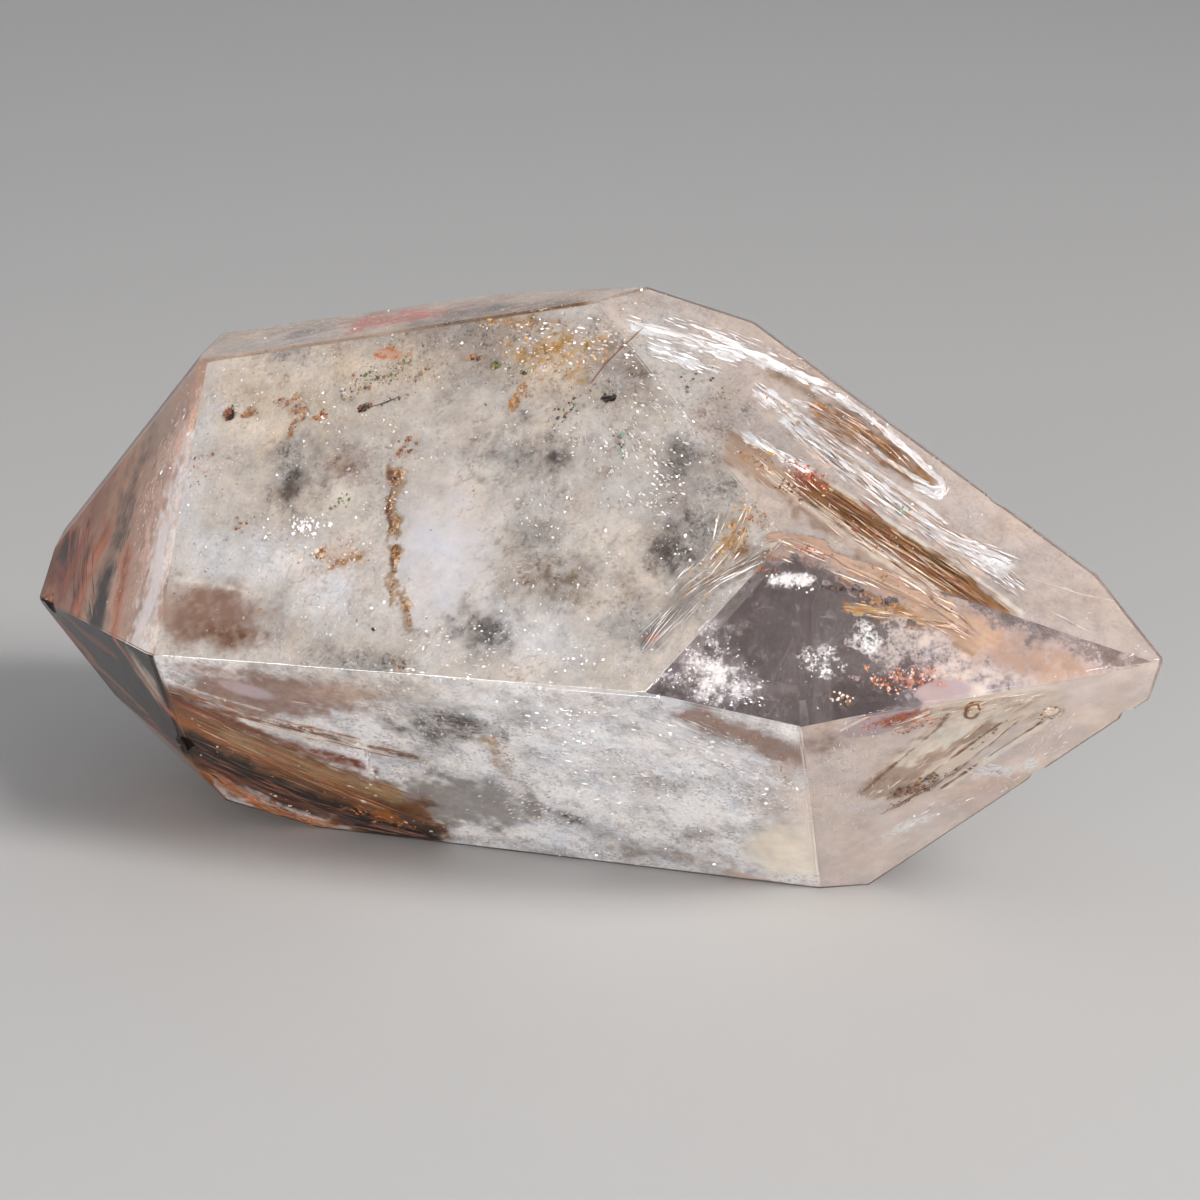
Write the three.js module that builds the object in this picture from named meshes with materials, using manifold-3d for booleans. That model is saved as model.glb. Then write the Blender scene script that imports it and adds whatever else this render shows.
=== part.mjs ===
// A smoky amethyst crystal, pointed at both ends and polished, lying on one of its long faces.
// Millimetres, +Z up. +X runs from the smoky left point to the clear right point, and -Y is the front.
// The crystal is one solid: a convex body bounded by flat facets, with softly rounded edges,
// one growth ledge, a few chips along its edges and a few shallow pits.

import * as THREE from 'three';
import { ConvexGeometry } from 'three/addons/geometries/ConvexGeometry.js';
import { mergeVertices } from 'three/addons/utils/BufferGeometryUtils.js';
import Module from 'manifold-3d';

const wasm = await Module();
wasm.setup();

// Facets: turn is the heading of the outward normal about +Z from +X, lean its rise above level,
// both in degrees, and reach the facet's distance from the body centre in millimetres.
const FACETS = {
  rest_face: { turn: 0, lean: -90, reach: 17.5 },
  front_lower: { turn: -82, lean: -38, reach: 16.0 },
  front_upper: { turn: -86, lean: 38, reach: 17.3 },
  crown: { turn: -171.5, lean: 78.5, reach: 21.9 },
  back_upper: { turn: 108, lean: 34.5, reach: 16.1 },
  back_lower: { turn: 88.5, lean: -32, reach: 21.3 },
  right_window: { turn: -69, lean: 27.5, reach: 22.7 },
  right_upper: { turn: -54.5, lean: 54.5, reach: 22.6 },
  right_lower: { turn: -55.5, lean: -36.5, reach: 23.4 },
  right_back_crown: { turn: 87, lean: 44.5, reach: 17.2 },
  right_back_upper: { turn: 63.5, lean: 31, reach: 18.7 },
  right_back_tip: { turn: 39.5, lean: 31, reach: 31.1 },
  right_back_lower: { turn: 42, lean: -36.5, reach: 25.7 },
  right_blunt: { turn: 11.5, lean: -14, reach: 43.7 },
  left_upper: { turn: -134.5, lean: 23, reach: 27.3 },
  left_lower: { turn: -126, lean: -25, reach: 26.9 },
  left_back_upper: { turn: -163, lean: 39.5, reach: 30.0 },
  left_back_lower: { turn: 138.5, lean: -31, reach: 27.1 },
  left_blunt: { turn: 159, lean: -0.5, reach: 36.9 },
  left_under: { turn: -166.5, lean: -54.5, reach: 27.9 },
  left_heel: { turn: -126.5, lean: -37.5, reach: 26.2 },
  left_sole: { turn: -158, lean: -74, reach: 21.3 },
};

// Edges that polishing wore into narrow flats: the two facets that meet and how deep the flat cuts.
const WORN_EDGES = [
  ['front_upper', 'left_upper', 0.3],
  ['front_upper', 'crown', 0.14],
  ['crown', 'back_upper', 0.25],
  ['left_upper', 'left_back_upper', 0.18],
  ['front_upper', 'front_lower', 0.12],
  ['back_upper', 'back_lower', 0.3],
  ['left_lower', 'front_lower', 0.15],
];

const EDGE_RADIUS = 0.4;
const EDGE_STEPS = 3;
const CORNER_REACH = 1e-6;

// The growth ledge: the right window is set back by this much above a line that bends once.
// The bend lies along the window and up it, and the line's two sides have a slope in degrees.
const LEDGE_DEPTH = 0.4;
const LEDGE_BEND = { along: 27.8, up: -8.5 };
const LEDGE_SLOPES = [27, 6.5];
const CUTTER_LENGTH = 90;
const CUTTER_WIDTH = 60;
const CUTTER_HEIGHT = 4;

// Chips are shallow scoops on an edge: the two facets that meet there, the place from 0 to 1
// along their shared edge, the scoop's half sizes (along, across, deep) and its turn in degrees.
const CHIPS = [
  { edge: ['right_lower', 'right_back_lower'], at: 0.93, size: [1.3, 0.8, 0.5], spin: 12 },
  { edge: ['right_lower', 'right_back_lower'], at: 0.62, size: [2.2, 0.9, 0.4], spin: -8 },
  { edge: ['right_window', 'right_upper'], at: 0.97, size: [1.1, 0.7, 0.5], spin: 20 },
  { edge: ['right_upper', 'right_back_upper'], at: 0.72, size: [1.6, 0.8, 0.35], spin: 5 },
  { edge: ['left_lower', 'front_lower'], at: 0.12, size: [1.6, 1.0, 0.6], spin: 35 },
  { edge: ['left_upper', 'left_lower'], at: 0.1, size: [1.5, 1.1, 0.6], spin: -15 },
  { edge: ['front_lower', 'left_heel'], at: 0.5, size: [1.8, 0.9, 0.5], spin: 10 },
  { edge: ['right_back_upper', 'back_upper'], at: 0.4, size: [1.7, 0.9, 0.45], spin: 0 },
];

// Pits are small hollows in a facet, placed along it and up it from the foot of its normal.
const PITS = [
  { facet: 'front_upper', along: 8.6, up: 9.1, size: [0.6, 0.38, 0.5], spin: -20 },
  { facet: 'front_upper', along: -19.1, up: 5.2, size: [0.45, 0.5, 0.35], spin: 0 },
  { facet: 'front_upper', along: -17.7, up: 5.2, size: [0.6, 0.35, 0.3], spin: 25 },
  { facet: 'front_upper', along: -4.3, up: -9.3, size: [0.3, 0.35, 0.3], spin: 0 },
  { facet: 'right_lower', along: 24.3, up: 18.6, size: [0.55, 0.85, 0.3], spin: -12 },
  { facet: 'back_upper', along: 6.0, up: 4.0, size: [0.7, 0.5, 0.35], spin: 30 },
  { facet: 'back_upper', along: -12.0, up: -3.0, size: [0.5, 0.4, 0.3], spin: -10 },
];

const UP = new THREE.Vector3(0, 0, 1);

// A facet's plane: its outward unit normal and its distance from the body centre.
function facetPlane({ turn, lean, reach }) {
  const heading = THREE.MathUtils.degToRad(turn);
  const rise = THREE.MathUtils.degToRad(lean);
  const normal = new THREE.Vector3(
    Math.cos(heading) * Math.cos(rise),
    Math.sin(heading) * Math.cos(rise),
    Math.sin(rise),
  );
  return { normal, reach };
}

const planes = {};
for (const [name, facet] of Object.entries(FACETS)) {
  planes[name] = facetPlane(facet);
}

// The flat worn onto an edge faces halfway between its two facets.
function wornPlane([first, second, depth]) {
  const sum = planes[first].normal.clone().add(planes[second].normal);
  const edgeReach = (planes[first].reach + planes[second].reach) / sum.length();
  return { normal: sum.normalize(), reach: edgeReach - depth };
}

// The corner where three planes meet, or null when they are close to parallel.
function meetingPoint(a, b, c) {
  const cross = new THREE.Vector3().crossVectors(b.normal, c.normal);
  const spread = a.normal.dot(cross);
  if (Math.abs(spread) < 1e-6) return null;
  const point = cross.multiplyScalar(a.reach);
  point.addScaledVector(new THREE.Vector3().crossVectors(c.normal, a.normal), b.reach);
  point.addScaledVector(new THREE.Vector3().crossVectors(a.normal, b.normal), c.reach);
  return point.divideScalar(spread);
}

// Every corner of the convex body that a list of planes encloses, with the planes through it.
function bodyCorners(list) {
  const corners = [];
  for (let i = 0; i < list.length; i += 1) {
    for (let j = i + 1; j < list.length; j += 1) {
      for (let k = j + 1; k < list.length; k += 1) {
        const point = meetingPoint(list[i], list[j], list[k]);
        if (!point) continue;
        const outside = list.some((plane) => plane.normal.dot(point) > plane.reach + CORNER_REACH);
        if (outside) continue;
        corners.push({ point, through: [list[i], list[j], list[k]] });
      }
    }
  }
  return corners;
}

// The convex body with every edge rounded: it is shrunk by the radius, and each of its corners
// then spreads out by the radius along its facets' normals and the directions between them.
function roundedBody(list, radius) {
  const shrunk = list.map(({ normal, reach }) => ({ normal, reach: reach - radius }));
  const points = [];
  for (const { point, through } of bodyCorners(shrunk)) {
    const middle = new THREE.Vector3();
    through.forEach(({ normal }, index) => {
      const next = through[(index + 1) % through.length].normal;
      middle.add(normal);
      for (let step = 0; step < EDGE_STEPS; step += 1) {
        const direction = normal.clone().lerp(next, step / EDGE_STEPS).normalize();
        points.push(point.clone().addScaledVector(direction, radius));
      }
    });
    points.push(point.clone().addScaledVector(middle.normalize(), radius));
  }
  return new ConvexGeometry(points);
}

// A closed solid for joining and cutting, from a geometry's positions alone.
function toSolid(geometry) {
  const bare = geometry.clone();
  bare.deleteAttribute('normal');
  bare.deleteAttribute('uv');
  const merged = mergeVertices(bare, 1e-5);
  return new wasm.Manifold(new wasm.Mesh({
    numProp: 3,
    vertProperties: new Float32Array(merged.attributes.position.array),
    triVerts: new Uint32Array(merged.index.array),
  }));
}

// The geometry of a finished solid.
function toGeometry(solid) {
  const mesh = solid.getMesh();
  const geometry = new THREE.BufferGeometry();
  geometry.setAttribute('position', new THREE.BufferAttribute(mesh.vertProperties, 3));
  geometry.setIndex(new THREE.BufferAttribute(mesh.triVerts, 1));
  return geometry;
}

// A frame on a surface: x runs level, z points out along the normal, and y runs up the surface.
function surfaceFrame(normal, spin) {
  const along = new THREE.Vector3().crossVectors(UP, normal).normalize();
  const up = new THREE.Vector3().crossVectors(normal, along);
  const frame = new THREE.Matrix4().makeBasis(along, up, normal);
  return frame.multiply(new THREE.Matrix4().makeRotationZ(THREE.MathUtils.degToRad(spin)));
}

// The point on a facet that lies along it and up it from the foot of its normal.
function facetPoint(name, along, up) {
  const { normal, reach } = planes[name];
  const offset = new THREE.Vector3(along, up, reach);
  return offset.applyMatrix4(surfaceFrame(normal, 0));
}

// The point part of the way along the edge that two facets share.
function edgePoint([first, second], at) {
  const ends = sharpCorners
    .filter(({ through }) => through.includes(planes[first]) && through.includes(planes[second]))
    .map(({ point }) => point)
    .sort((a, b) => a.x - b.x);
  return ends[0].clone().lerp(ends[ends.length - 1], at);
}

// A lens-like scoop with its middle at a point and its shallow axis along a direction.
function scoop(point, outward, size, spin) {
  const geometry = new THREE.IcosahedronGeometry(1, 2);
  geometry.scale(size[0], size[1], size[2]);
  geometry.applyMatrix4(surfaceFrame(outward, spin));
  geometry.translate(point.x, point.y, point.z);
  return toSolid(geometry);
}

function chipCutter({ edge, at, size, spin }) {
  const outward = planes[edge[0]].normal.clone().add(planes[edge[1]].normal).normalize();
  return scoop(edgePoint(edge, at), outward, size, spin);
}

function pitCutter({ facet, along, up, size, spin }) {
  return scoop(facetPoint(facet, along, up), planes[facet].normal, size, spin);
}

// One side of the ledge: a block over the window whose lower side runs along the ledge's line.
function ledgeCutter(slope) {
  const block = new THREE.BoxGeometry(CUTTER_LENGTH, CUTTER_WIDTH, CUTTER_HEIGHT);
  block.translate(0, CUTTER_WIDTH / 2, CUTTER_HEIGHT / 2 - LEDGE_DEPTH);
  block.applyMatrix4(surfaceFrame(planes.right_window.normal, slope));
  const place = facetPoint('right_window', LEDGE_BEND.along, LEDGE_BEND.up);
  block.translate(place.x, place.y, place.z);
  return toSolid(block);
}

const sharpCorners = bodyCorners(Object.values(planes));

function crystalGeometry() {
  const list = [...Object.values(planes), ...WORN_EDGES.map(wornPlane)];
  let solid = toSolid(roundedBody(list, EDGE_RADIUS));
  const cutters = [
    ...LEDGE_SLOPES.map(ledgeCutter),
    ...CHIPS.map(chipCutter),
    ...PITS.map(pitCutter),
  ];
  for (const cutter of cutters) {
    solid = solid.subtract(cutter);
  }
  const geometry = toGeometry(solid);
  geometry.computeBoundingBox();
  const { min, max } = geometry.boundingBox;
  return geometry.translate(-(min.x + max.x) / 2, -(min.y + max.y) / 2, -min.z);
}

function crystal() {
  const material = new THREE.MeshStandardMaterial({
    color: 0xcbbdb9,
    roughness: 0.06,
    metalness: 0,
    transparent: true,
    opacity: 0.45,
  });
  const mesh = new THREE.Mesh(crystalGeometry(), material);
  mesh.name = 'crystal';
  return mesh;
}

const part = new THREE.Group();
part.add(crystal());

export default part;
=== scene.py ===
import math

import bmesh
import bpy
import numpy as np
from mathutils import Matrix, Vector


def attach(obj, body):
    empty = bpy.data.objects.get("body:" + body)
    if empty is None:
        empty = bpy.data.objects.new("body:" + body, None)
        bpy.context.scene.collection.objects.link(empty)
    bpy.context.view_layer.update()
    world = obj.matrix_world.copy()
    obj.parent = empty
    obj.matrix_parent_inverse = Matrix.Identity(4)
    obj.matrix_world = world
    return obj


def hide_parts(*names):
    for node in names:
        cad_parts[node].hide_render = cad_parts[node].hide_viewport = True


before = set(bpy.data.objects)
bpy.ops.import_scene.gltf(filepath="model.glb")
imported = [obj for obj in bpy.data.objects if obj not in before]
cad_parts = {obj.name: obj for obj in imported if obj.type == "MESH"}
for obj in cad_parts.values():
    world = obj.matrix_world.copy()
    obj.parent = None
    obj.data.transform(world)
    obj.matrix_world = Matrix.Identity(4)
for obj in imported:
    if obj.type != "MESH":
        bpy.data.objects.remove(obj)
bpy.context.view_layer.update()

MM = 0.001
SCENE = bpy.context.scene
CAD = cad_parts["crystal"]

# The camera stands where the photograph was taken from, in millimetres of the crystal's own frame.
CAMERA_TURN = 25.0
CAMERA_RISE = 19.0
CAMERA_DISTANCE = 250.0
CAMERA_FIELD = 20.0
CAMERA_TARGET = (-0.275, 3.133, 16.667)

# Compass turn and lean of every facet's outward direction, in degrees, as the solid has them.
FACET_HEADINGS = {
    "rest_face": (0, -90),
    "front_lower": (-82, -38),
    "front_upper": (-86, 38),
    "crown": (-171.5, 78.5),
    "back_upper": (108, 34.5),
    "back_lower": (88.5, -32),
    "right_window": (-69, 27.5),
    "right_upper": (-54.5, 54.5),
    "right_lower": (-55.5, -36.5),
    "right_back_crown": (87, 44.5),
    "right_back_upper": (63.5, 31),
    "right_back_tip": (39.5, 31),
    "right_back_lower": (42, -36.5),
    "right_blunt": (11.5, -14),
    "left_upper": (-134.5, 23),
    "left_lower": (-126, -25),
    "left_back_upper": (-163, 39.5),
    "left_back_lower": (138.5, -31),
    "left_blunt": (159, -0.5),
    "left_under": (-166.5, -54.5),
    "left_heel": (-126.5, -37.5),
    "left_sole": (-158, -74),
}
# Above its ledge the right window facet lies this much deeper, in millimetres.
LEDGE_DROP = 0.4

# Colours of the quartz and of what is in it, as screen values from 0 to 255.
COLOURS = {
    "frost": (244, 241, 242),
    "milk": (222, 218, 218),
    "lilac_milk": (221, 217, 221),
    "cream": (216, 200, 184),
    "pale_cream": (230, 219, 206),
    "pink_cream": (210, 184, 171),
    "grey_veil": (166, 158, 153),
    "smoke": (104, 95, 90),
    "dark_smoke": (62, 52, 46),
    "smoky_pink": (150, 118, 104),
    "pale_lilac": (196, 182, 188),
    "tan": (176, 150, 124),
    "ochre": (190, 146, 78),
    "warm_milk": (208, 198, 190),
    "pink_haze": (214, 197, 188),
    "dim_haze": (172, 158, 150),
    "trough_brown": (142, 100, 56),
    "tongue": (170, 142, 122),
    "dun": (140, 118, 98),
    "straw": (172, 144, 106),
    "fire": (226, 92, 22),
    "dusty_lilac": (178, 158, 160),
    "copper_haze": (184, 154, 138),
    "deep_copper": (124, 60, 34),
    "amber": (162, 116, 68),
    "dark_amber": (110, 66, 26),
    "golden": (158, 90, 30),
    "brown": (120, 76, 40),
    "copper": (178, 104, 68),
    "orange": (214, 116, 48),
    "rust": (160, 74, 42),
    "black_brown": (26, 13, 8),
    "moss": (96, 108, 58),
    "teal": (120, 158, 142),
}


def linear(name):
    """A named colour as light: each screen value v of 0 to 1 becomes ((v + 0.055) / 1.055) ** 2.4."""
    screen = np.array(COLOURS[name]) / 255
    return ((screen + 0.055) / 1.055) ** 2.4


# Facets as planes, and places on them


class Facet:
    """A plane of the crystal, in millimetres: the points whose product with its outward direction is
    reach. Its own directions are along, which is level, and up, the steepest; foot is the crystal's
    middle moved onto it."""

    def __init__(self, name, corners, middle):
        turn, lean = np.radians(FACET_HEADINGS[name])
        self.out = np.array([np.cos(turn) * np.cos(lean), np.sin(turn) * np.cos(lean), np.sin(lean)])
        level = np.cross([0.0, 0.0, 1.0], self.out)
        length = np.linalg.norm(level)
        self.along = level / length if length > 1e-6 else np.array([1.0, 0.0, 0.0])
        self.up = np.cross(self.out, self.along)
        self.reach = (corners @ self.out).max() - (LEDGE_DROP if name == "right_window" else 0.0)
        self.foot = middle + self.out * (self.reach - self.out @ middle)

    def place(self, along, up, depth):
        """The point foot + along * along direction + up * up direction - depth * outward direction."""
        flat = np.multiply.outer(along, self.along) + np.multiply.outer(up, self.up)
        return self.foot + flat - np.multiply.outer(depth + np.zeros_like(along), self.out)


def facets():
    """Every facet, pushed out until it touches the solid's farthest corner in its direction."""
    corners = np.zeros(len(CAD.data.vertices) * 3)
    CAD.data.vertices.foreach_get("co", corners)
    corners = corners.reshape(-1, 3) / MM
    middle = (corners.min(0) + corners.max(0)) / 2
    return {name: Facet(name, corners, middle) for name in FACET_HEADINGS}


FACETS = facets()


# Repeatable unevenness


# Large odd numbers that scatter the bits of a lattice point's two numbers and its seed
SCATTER = (374761393, 668265263, 974634777, 1274126177)
WORD = 0xFFFFFFFF
HALF_RANGE = 0x7FFFFF
# Each octave is half as large as the last and this much as strong
OCTAVE_WEIGHT = 0.55
# The eased values stay near the middle, so they are stretched to fill -1 to 1
RIPPLE_STRETCH = 1.6
# How far one step of the seed moves the lattice, across and along
SEED_SHIFT = (7.31, -3.17)


def lattice(across, along, seed):
    """A repeatable value from -1 to 1 for each whole-numbered lattice point, hashed from its two
    numbers."""
    mixed = across.astype(np.int64) * SCATTER[0] + along.astype(np.int64) * SCATTER[1] + seed * SCATTER[2]
    mixed = mixed & WORD
    mixed = ((mixed ^ (mixed >> 13)) * SCATTER[3]) & WORD
    mixed = (mixed ^ (mixed >> 16)) & (2 * HALF_RANGE + 1)
    return mixed / HALF_RANGE - 1.0


def eased(value):
    """0 below 0, 1 above 1, and x * x * (3 - 2 * x) between them."""
    value = np.clip(value, 0, 1)
    return value * value * (3 - 2 * value)


def ripple(across, along, size, seed, octaves=3):
    """Smooth unevenness from about -1 to 1: lattice values eased between points, summed over octaves, each
    half as large as the last and weaker."""
    total = np.zeros(np.broadcast(across, along).shape)
    weight = 1.0
    span = 0.0
    for octave in range(octaves):
        x = across / size * 2**octave + seed * SEED_SHIFT[0]
        y = along / size * 2**octave + seed * SEED_SHIFT[1]
        left, low = np.floor(x), np.floor(y)
        fx, fy = eased(x - left), eased(y - low)
        key = seed + octave
        bottom = lattice(left, low, key) * (1 - fx) + lattice(left + 1, low, key) * fx
        top = lattice(left, low + 1, key) * (1 - fx) + lattice(left + 1, low + 1, key) * fx
        total += weight * (bottom * (1 - fy) + top * fy)
        span += weight
        weight *= OCTAVE_WEIGHT
    return total / span * RIPPLE_STRETCH


# Marks painted on the sheets inside the crystal, in millimetres along and up the facet they lie under


# How a mark is laid on unless it says otherwise: it fades over the share soft of its size, its edge is
# ragged by another share, in bits of a size in millimetres, it is worn thin by fine unevenness, and
# streaks are lighter and darker lines along its length
LAID_ON = dict(soft=0.9, ragged=0.3, bits=1.2, worn=0.3, streaks=0.0)


def blot(at, size, colour, cover, grain=0.5, spin=0, **settings):
    """A patch round at, with half sizes size, turned by spin degrees."""
    return {**LAID_ON, "reach": blot_reach, "at": at, "size": size, "colour": colour, "cover": cover,
            "grain": grain, "spin": spin, **settings}


def stroke(route, width, colour, cover, grain=0.1, **settings):
    """A band of half width width along the straight steps of route."""
    return {**LAID_ON, "reach": stroke_reach, "route": route, "width": width, "colour": colour,
            "cover": cover, "grain": grain, **settings}


def blot_reach(mark, along, up):
    """How far out a point lies in a blot, 0 in its middle and 1 at its edge, and its places ahead and
    across."""
    spin = math.radians(mark["spin"])
    right = along - mark["at"][0]
    rise = up - mark["at"][1]
    ahead = right * math.cos(spin) + rise * math.sin(spin)
    across = rise * math.cos(spin) - right * math.sin(spin)
    return np.hypot(ahead / mark["size"][0], across / mark["size"][1]), ahead, across


def stroke_reach(mark, along, up):
    """The distance to the nearest step of the stroke's route, as a share of its half width, and the places
    ahead and across."""
    nearest = np.full(along.shape, np.inf)
    ahead = np.zeros(along.shape)
    across = np.zeros(along.shape)
    route = np.array(mark["route"], float)
    gone = 0.0
    for start, end in zip(route[:-1], route[1:]):
        step = end - start
        length = np.hypot(*step)
        share = ((along - start[0]) * step[0] + (up - start[1]) * step[1]) / length**2
        share = np.clip(share, 0, 1)
        right = along - start[0] - share * step[0]
        rise = up - start[1] - share * step[1]
        far = np.hypot(right, rise)
        closer = far < nearest
        nearest = np.where(closer, far, nearest)
        ahead = np.where(closer, gone + share * length, ahead)
        across = np.where(closer, (rise * step[0] - right * step[1]) / length, across)
        gone += length
    return nearest / mark["width"], ahead, across


# Sizes of the paint's unevenness, in millimetres
FINE_BITS = 0.42
STREAK_WIDTH = 0.5
# Streaks are drawn out along their mark: lengths count for this share there
STREAK_STRETCH = 0.1
# How much of red, green and blue a warmer place gains, and how much a brown line takes away
WARMTH = np.array([0.03, -0.01, -0.06])
BROWN_LINE = np.array([0.45, 0.6, 0.72])
WHITE_LINE = 0.7
# The quartz stays a little darker than pure white
LIGHTEST = 0.93


def lay(mark, tint, cover, grain, along, up, seed):
    """Lays one mark over the tint, cover and grain of the points that it comes near: each moves to the
    mark's own value by eased((1 - reach - ragged * unevenness) / soft), less where it is worn."""
    reach, ahead, across = mark["reach"](mark, along, up)
    near = reach < 1 + 2 * mark["ragged"]
    x, y = along[near], up[near]
    rough = ripple(x, y, mark["bits"], seed, 4)
    fine = ripple(x, y, FINE_BITS, seed + 5, 3)
    weight = eased((1 - reach[near] - mark["ragged"] * (rough + 0.3 * fine)) / mark["soft"])
    weight = weight * (1 - mark["worn"] * eased(0.5 + 1.1 * fine))
    lines = ripple(across[near], ahead[near] * STREAK_STRETCH, STREAK_WIDTH, seed + 9, 3)
    shade = np.clip(1 + mark["streaks"] * lines + 0.08 * rough, 0.05, 2)
    tint[near] += weight[:, None] * (linear(mark["colour"]) * shade[:, None] - tint[near])
    cover[near] += weight * (mark["cover"] - cover[near])
    grain[near] += weight * (mark["grain"] - grain[near])


def crackle(along, up, seed):
    """Thin ragged lines in some places only: 1 where smooth unevenness changes sign, and 0 away from
    there."""
    fold = ripple(along, up, 1.5, seed, 4)
    where = ripple(along, up, 3.4, seed + 1, 2)
    return eased(1 - np.abs(fold) * 11) * eased(0.15 + 1.3 * where)


def clouded(tint, grain, along, up, seed, look):
    """The tint with soft light and dark clouds and warm and cool places, then brown and white crackle
    lines, of the two strengths in look, and strongest where the grain is high."""
    cloudy, webbed = look
    milky = eased(grain * 3)
    hue = 1 + ripple(along, up, 2.0, seed + 41, 4)[..., None] * WARMTH
    cloud = ripple(along, up, 2.4, seed + 31, 5) + 0.5 * ripple(along, up, 0.5, seed + 37, 3)
    tint = tint * (hue * (1 + cloudy * (0.2 + 0.8 * milky) * cloud)[..., None])
    brown = webbed * milky * crackle(along, up, seed + 51)
    tint = tint * (1 - brown[..., None] * BROWN_LINE)
    white = webbed * milky * crackle(along, up, seed + 61)
    return tint + WHITE_LINE * white[..., None] * (linear("frost") - tint)


def painted(base, marks, along, up, seed, shades=(1, 1, 1), look=(0.0, 0.0)):
    """Tint, cover and grain at each point: uneven base values, with every mark laid over those before it,
    then clouded by look, and the tint scaled by the facet's painted light and shade, which also shifts its
    hue a little."""
    colour, cover, grain = base
    uneven = 1 + 0.1 * ripple(along, up, 2.6, seed + 3, 4) + 0.09 * ripple(along, up, 0.6, seed + 4, 3)
    tint = uneven[..., None] * linear(colour)
    cover = cover * (1 + 0.12 * ripple(along, up, 1.9, seed + 8, 4))
    grain = np.full(along.shape, grain)
    for number, mark in enumerate(marks):
        lay(mark, tint, cover, grain, along, up, seed + 17 * number)
    tint = clouded(tint, grain, along, up, seed, look)
    return np.clip(tint * shades, 0, LIGHTEST), np.clip(cover, 0, 1), grain


# Meshes from grids of points


# Points of a round shape nearer than this, in metres, are one point
SAME_POINT = 1e-8


class Parts:
    """Grids of points, gathered into one mesh with a tint, a cover and a grain at every point."""

    def __init__(self):
        self.points = []
        self.faces = []
        self.tints = []
        self.covers = []
        self.grains = []
        self.count = 0

    def grid(self, points, tint, cover, grain):
        """Joins a grid of rows by columns of points with four-cornered faces."""
        rows, columns = points.shape[:2]
        index = np.arange(rows * columns).reshape(rows, columns) + self.count
        faces = np.stack([index[:-1, :-1], index[:-1, 1:], index[1:, 1:], index[1:, :-1]], -1)
        self.points.append(points.reshape(-1, 3))
        self.faces.append(faces.reshape(-1, 4))
        self.tints.append((np.zeros((rows, columns, 3)) + tint).reshape(-1, 3))
        self.covers.append((np.zeros((rows, columns)) + cover).reshape(-1))
        self.grains.append((np.zeros((rows, columns)) + grain).reshape(-1))
        self.count += rows * columns

    def loose(self, corners, tint):
        """Separate four-cornered flakes: corners holds four points for each."""
        count = len(corners)
        self.points.append(corners.reshape(-1, 3))
        self.faces.append(np.arange(count * 4).reshape(-1, 4) + self.count)
        self.tints.append(np.repeat(np.zeros((count, 3)) + tint, 4, axis=0))
        self.covers.append(np.ones(count * 4))
        self.grains.append(np.zeros(count * 4))
        self.count += count * 4

    def values(self, mesh, name, values):
        """One number for every point, as the mesh's own attribute."""
        layer = mesh.attributes.new(name, "FLOAT", "POINT")
        layer.data.foreach_set("value", np.concatenate(values))

    def piece(self, name, material, smooth=True, weld=False):
        """The gathered grids as one piece; weld closes the seams and poles of round shapes."""
        points = np.concatenate(self.points) * MM
        faces = np.concatenate(self.faces)
        mesh = bpy.data.meshes.new(name)
        mesh.vertices.add(len(points))
        mesh.vertices.foreach_set("co", points.ravel())
        mesh.loops.add(faces.size)
        mesh.loops.foreach_set("vertex_index", faces.ravel())
        mesh.polygons.add(len(faces))
        mesh.polygons.foreach_set("loop_start", np.arange(0, faces.size, 4))
        mesh.update(calc_edges=True)
        tint = mesh.attributes.new("tint", "FLOAT_COLOR", "POINT")
        tints = np.concatenate(self.tints)
        tint.data.foreach_set("color", np.column_stack([tints, np.ones(len(tints))]).ravel())
        self.values(mesh, "cover", self.covers)
        self.values(mesh, "grain", self.grains)
        if weld:
            closed = bmesh.new()
            closed.from_mesh(mesh)
            bmesh.ops.remove_doubles(closed, verts=closed.verts, dist=SAME_POINT)
            bmesh.ops.dissolve_degenerate(closed, edges=closed.edges, dist=SAME_POINT)
            bmesh.ops.recalc_face_normals(closed, faces=closed.faces)
            closed.to_mesh(mesh)
            closed.free()
        if smooth:
            mesh.shade_smooth()
        mesh.materials.append(material)
        crystal_piece(name, mesh)


def crystal_piece(name, mesh):
    """A piece of the one natural crystal: it rides on its body, and the crystal's solid from the model is
    hidden.
    """
    piece = bpy.data.objects.new(name, mesh)
    SCENE.collection.objects.link(piece)
    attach(piece, "root")
    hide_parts("crystal")
    return piece


# Sheets that follow the facets inside the crystal


def sheet_limits(facet, along, depth, margin):
    """Lowest and highest up at each along where the facet, sunk by depth, stays a margin under all
    others."""
    low = np.full(along.shape, -np.inf)
    high = np.full(along.shape, np.inf)
    start = facet.place(along, np.zeros_like(along), depth)
    for other in FACETS.values():
        if other is facet:
            continue
        slope = other.out @ facet.up
        room = other.reach - margin - start @ other.out
        if slope > 1e-9:
            high = np.minimum(high, room / slope)
        elif slope < -1e-9:
            low = np.maximum(low, room / slope)
        else:
            high = np.where(room < 0, low, high)
    return low, high


# The ends of a sheet are looked for this far both ways along its facet, at this many places, and it is
# nowhere lower than this, all but the count in millimetres
SEARCH_HALF = 50.0
SEARCH_COUNT = 2001
LEAST_HEIGHT = 0.15
# Size of a sheet's waves, and how far in from its rim they reach their full height
WAVE_SIZE = 4.0
WAVE_RIM = 2


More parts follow.
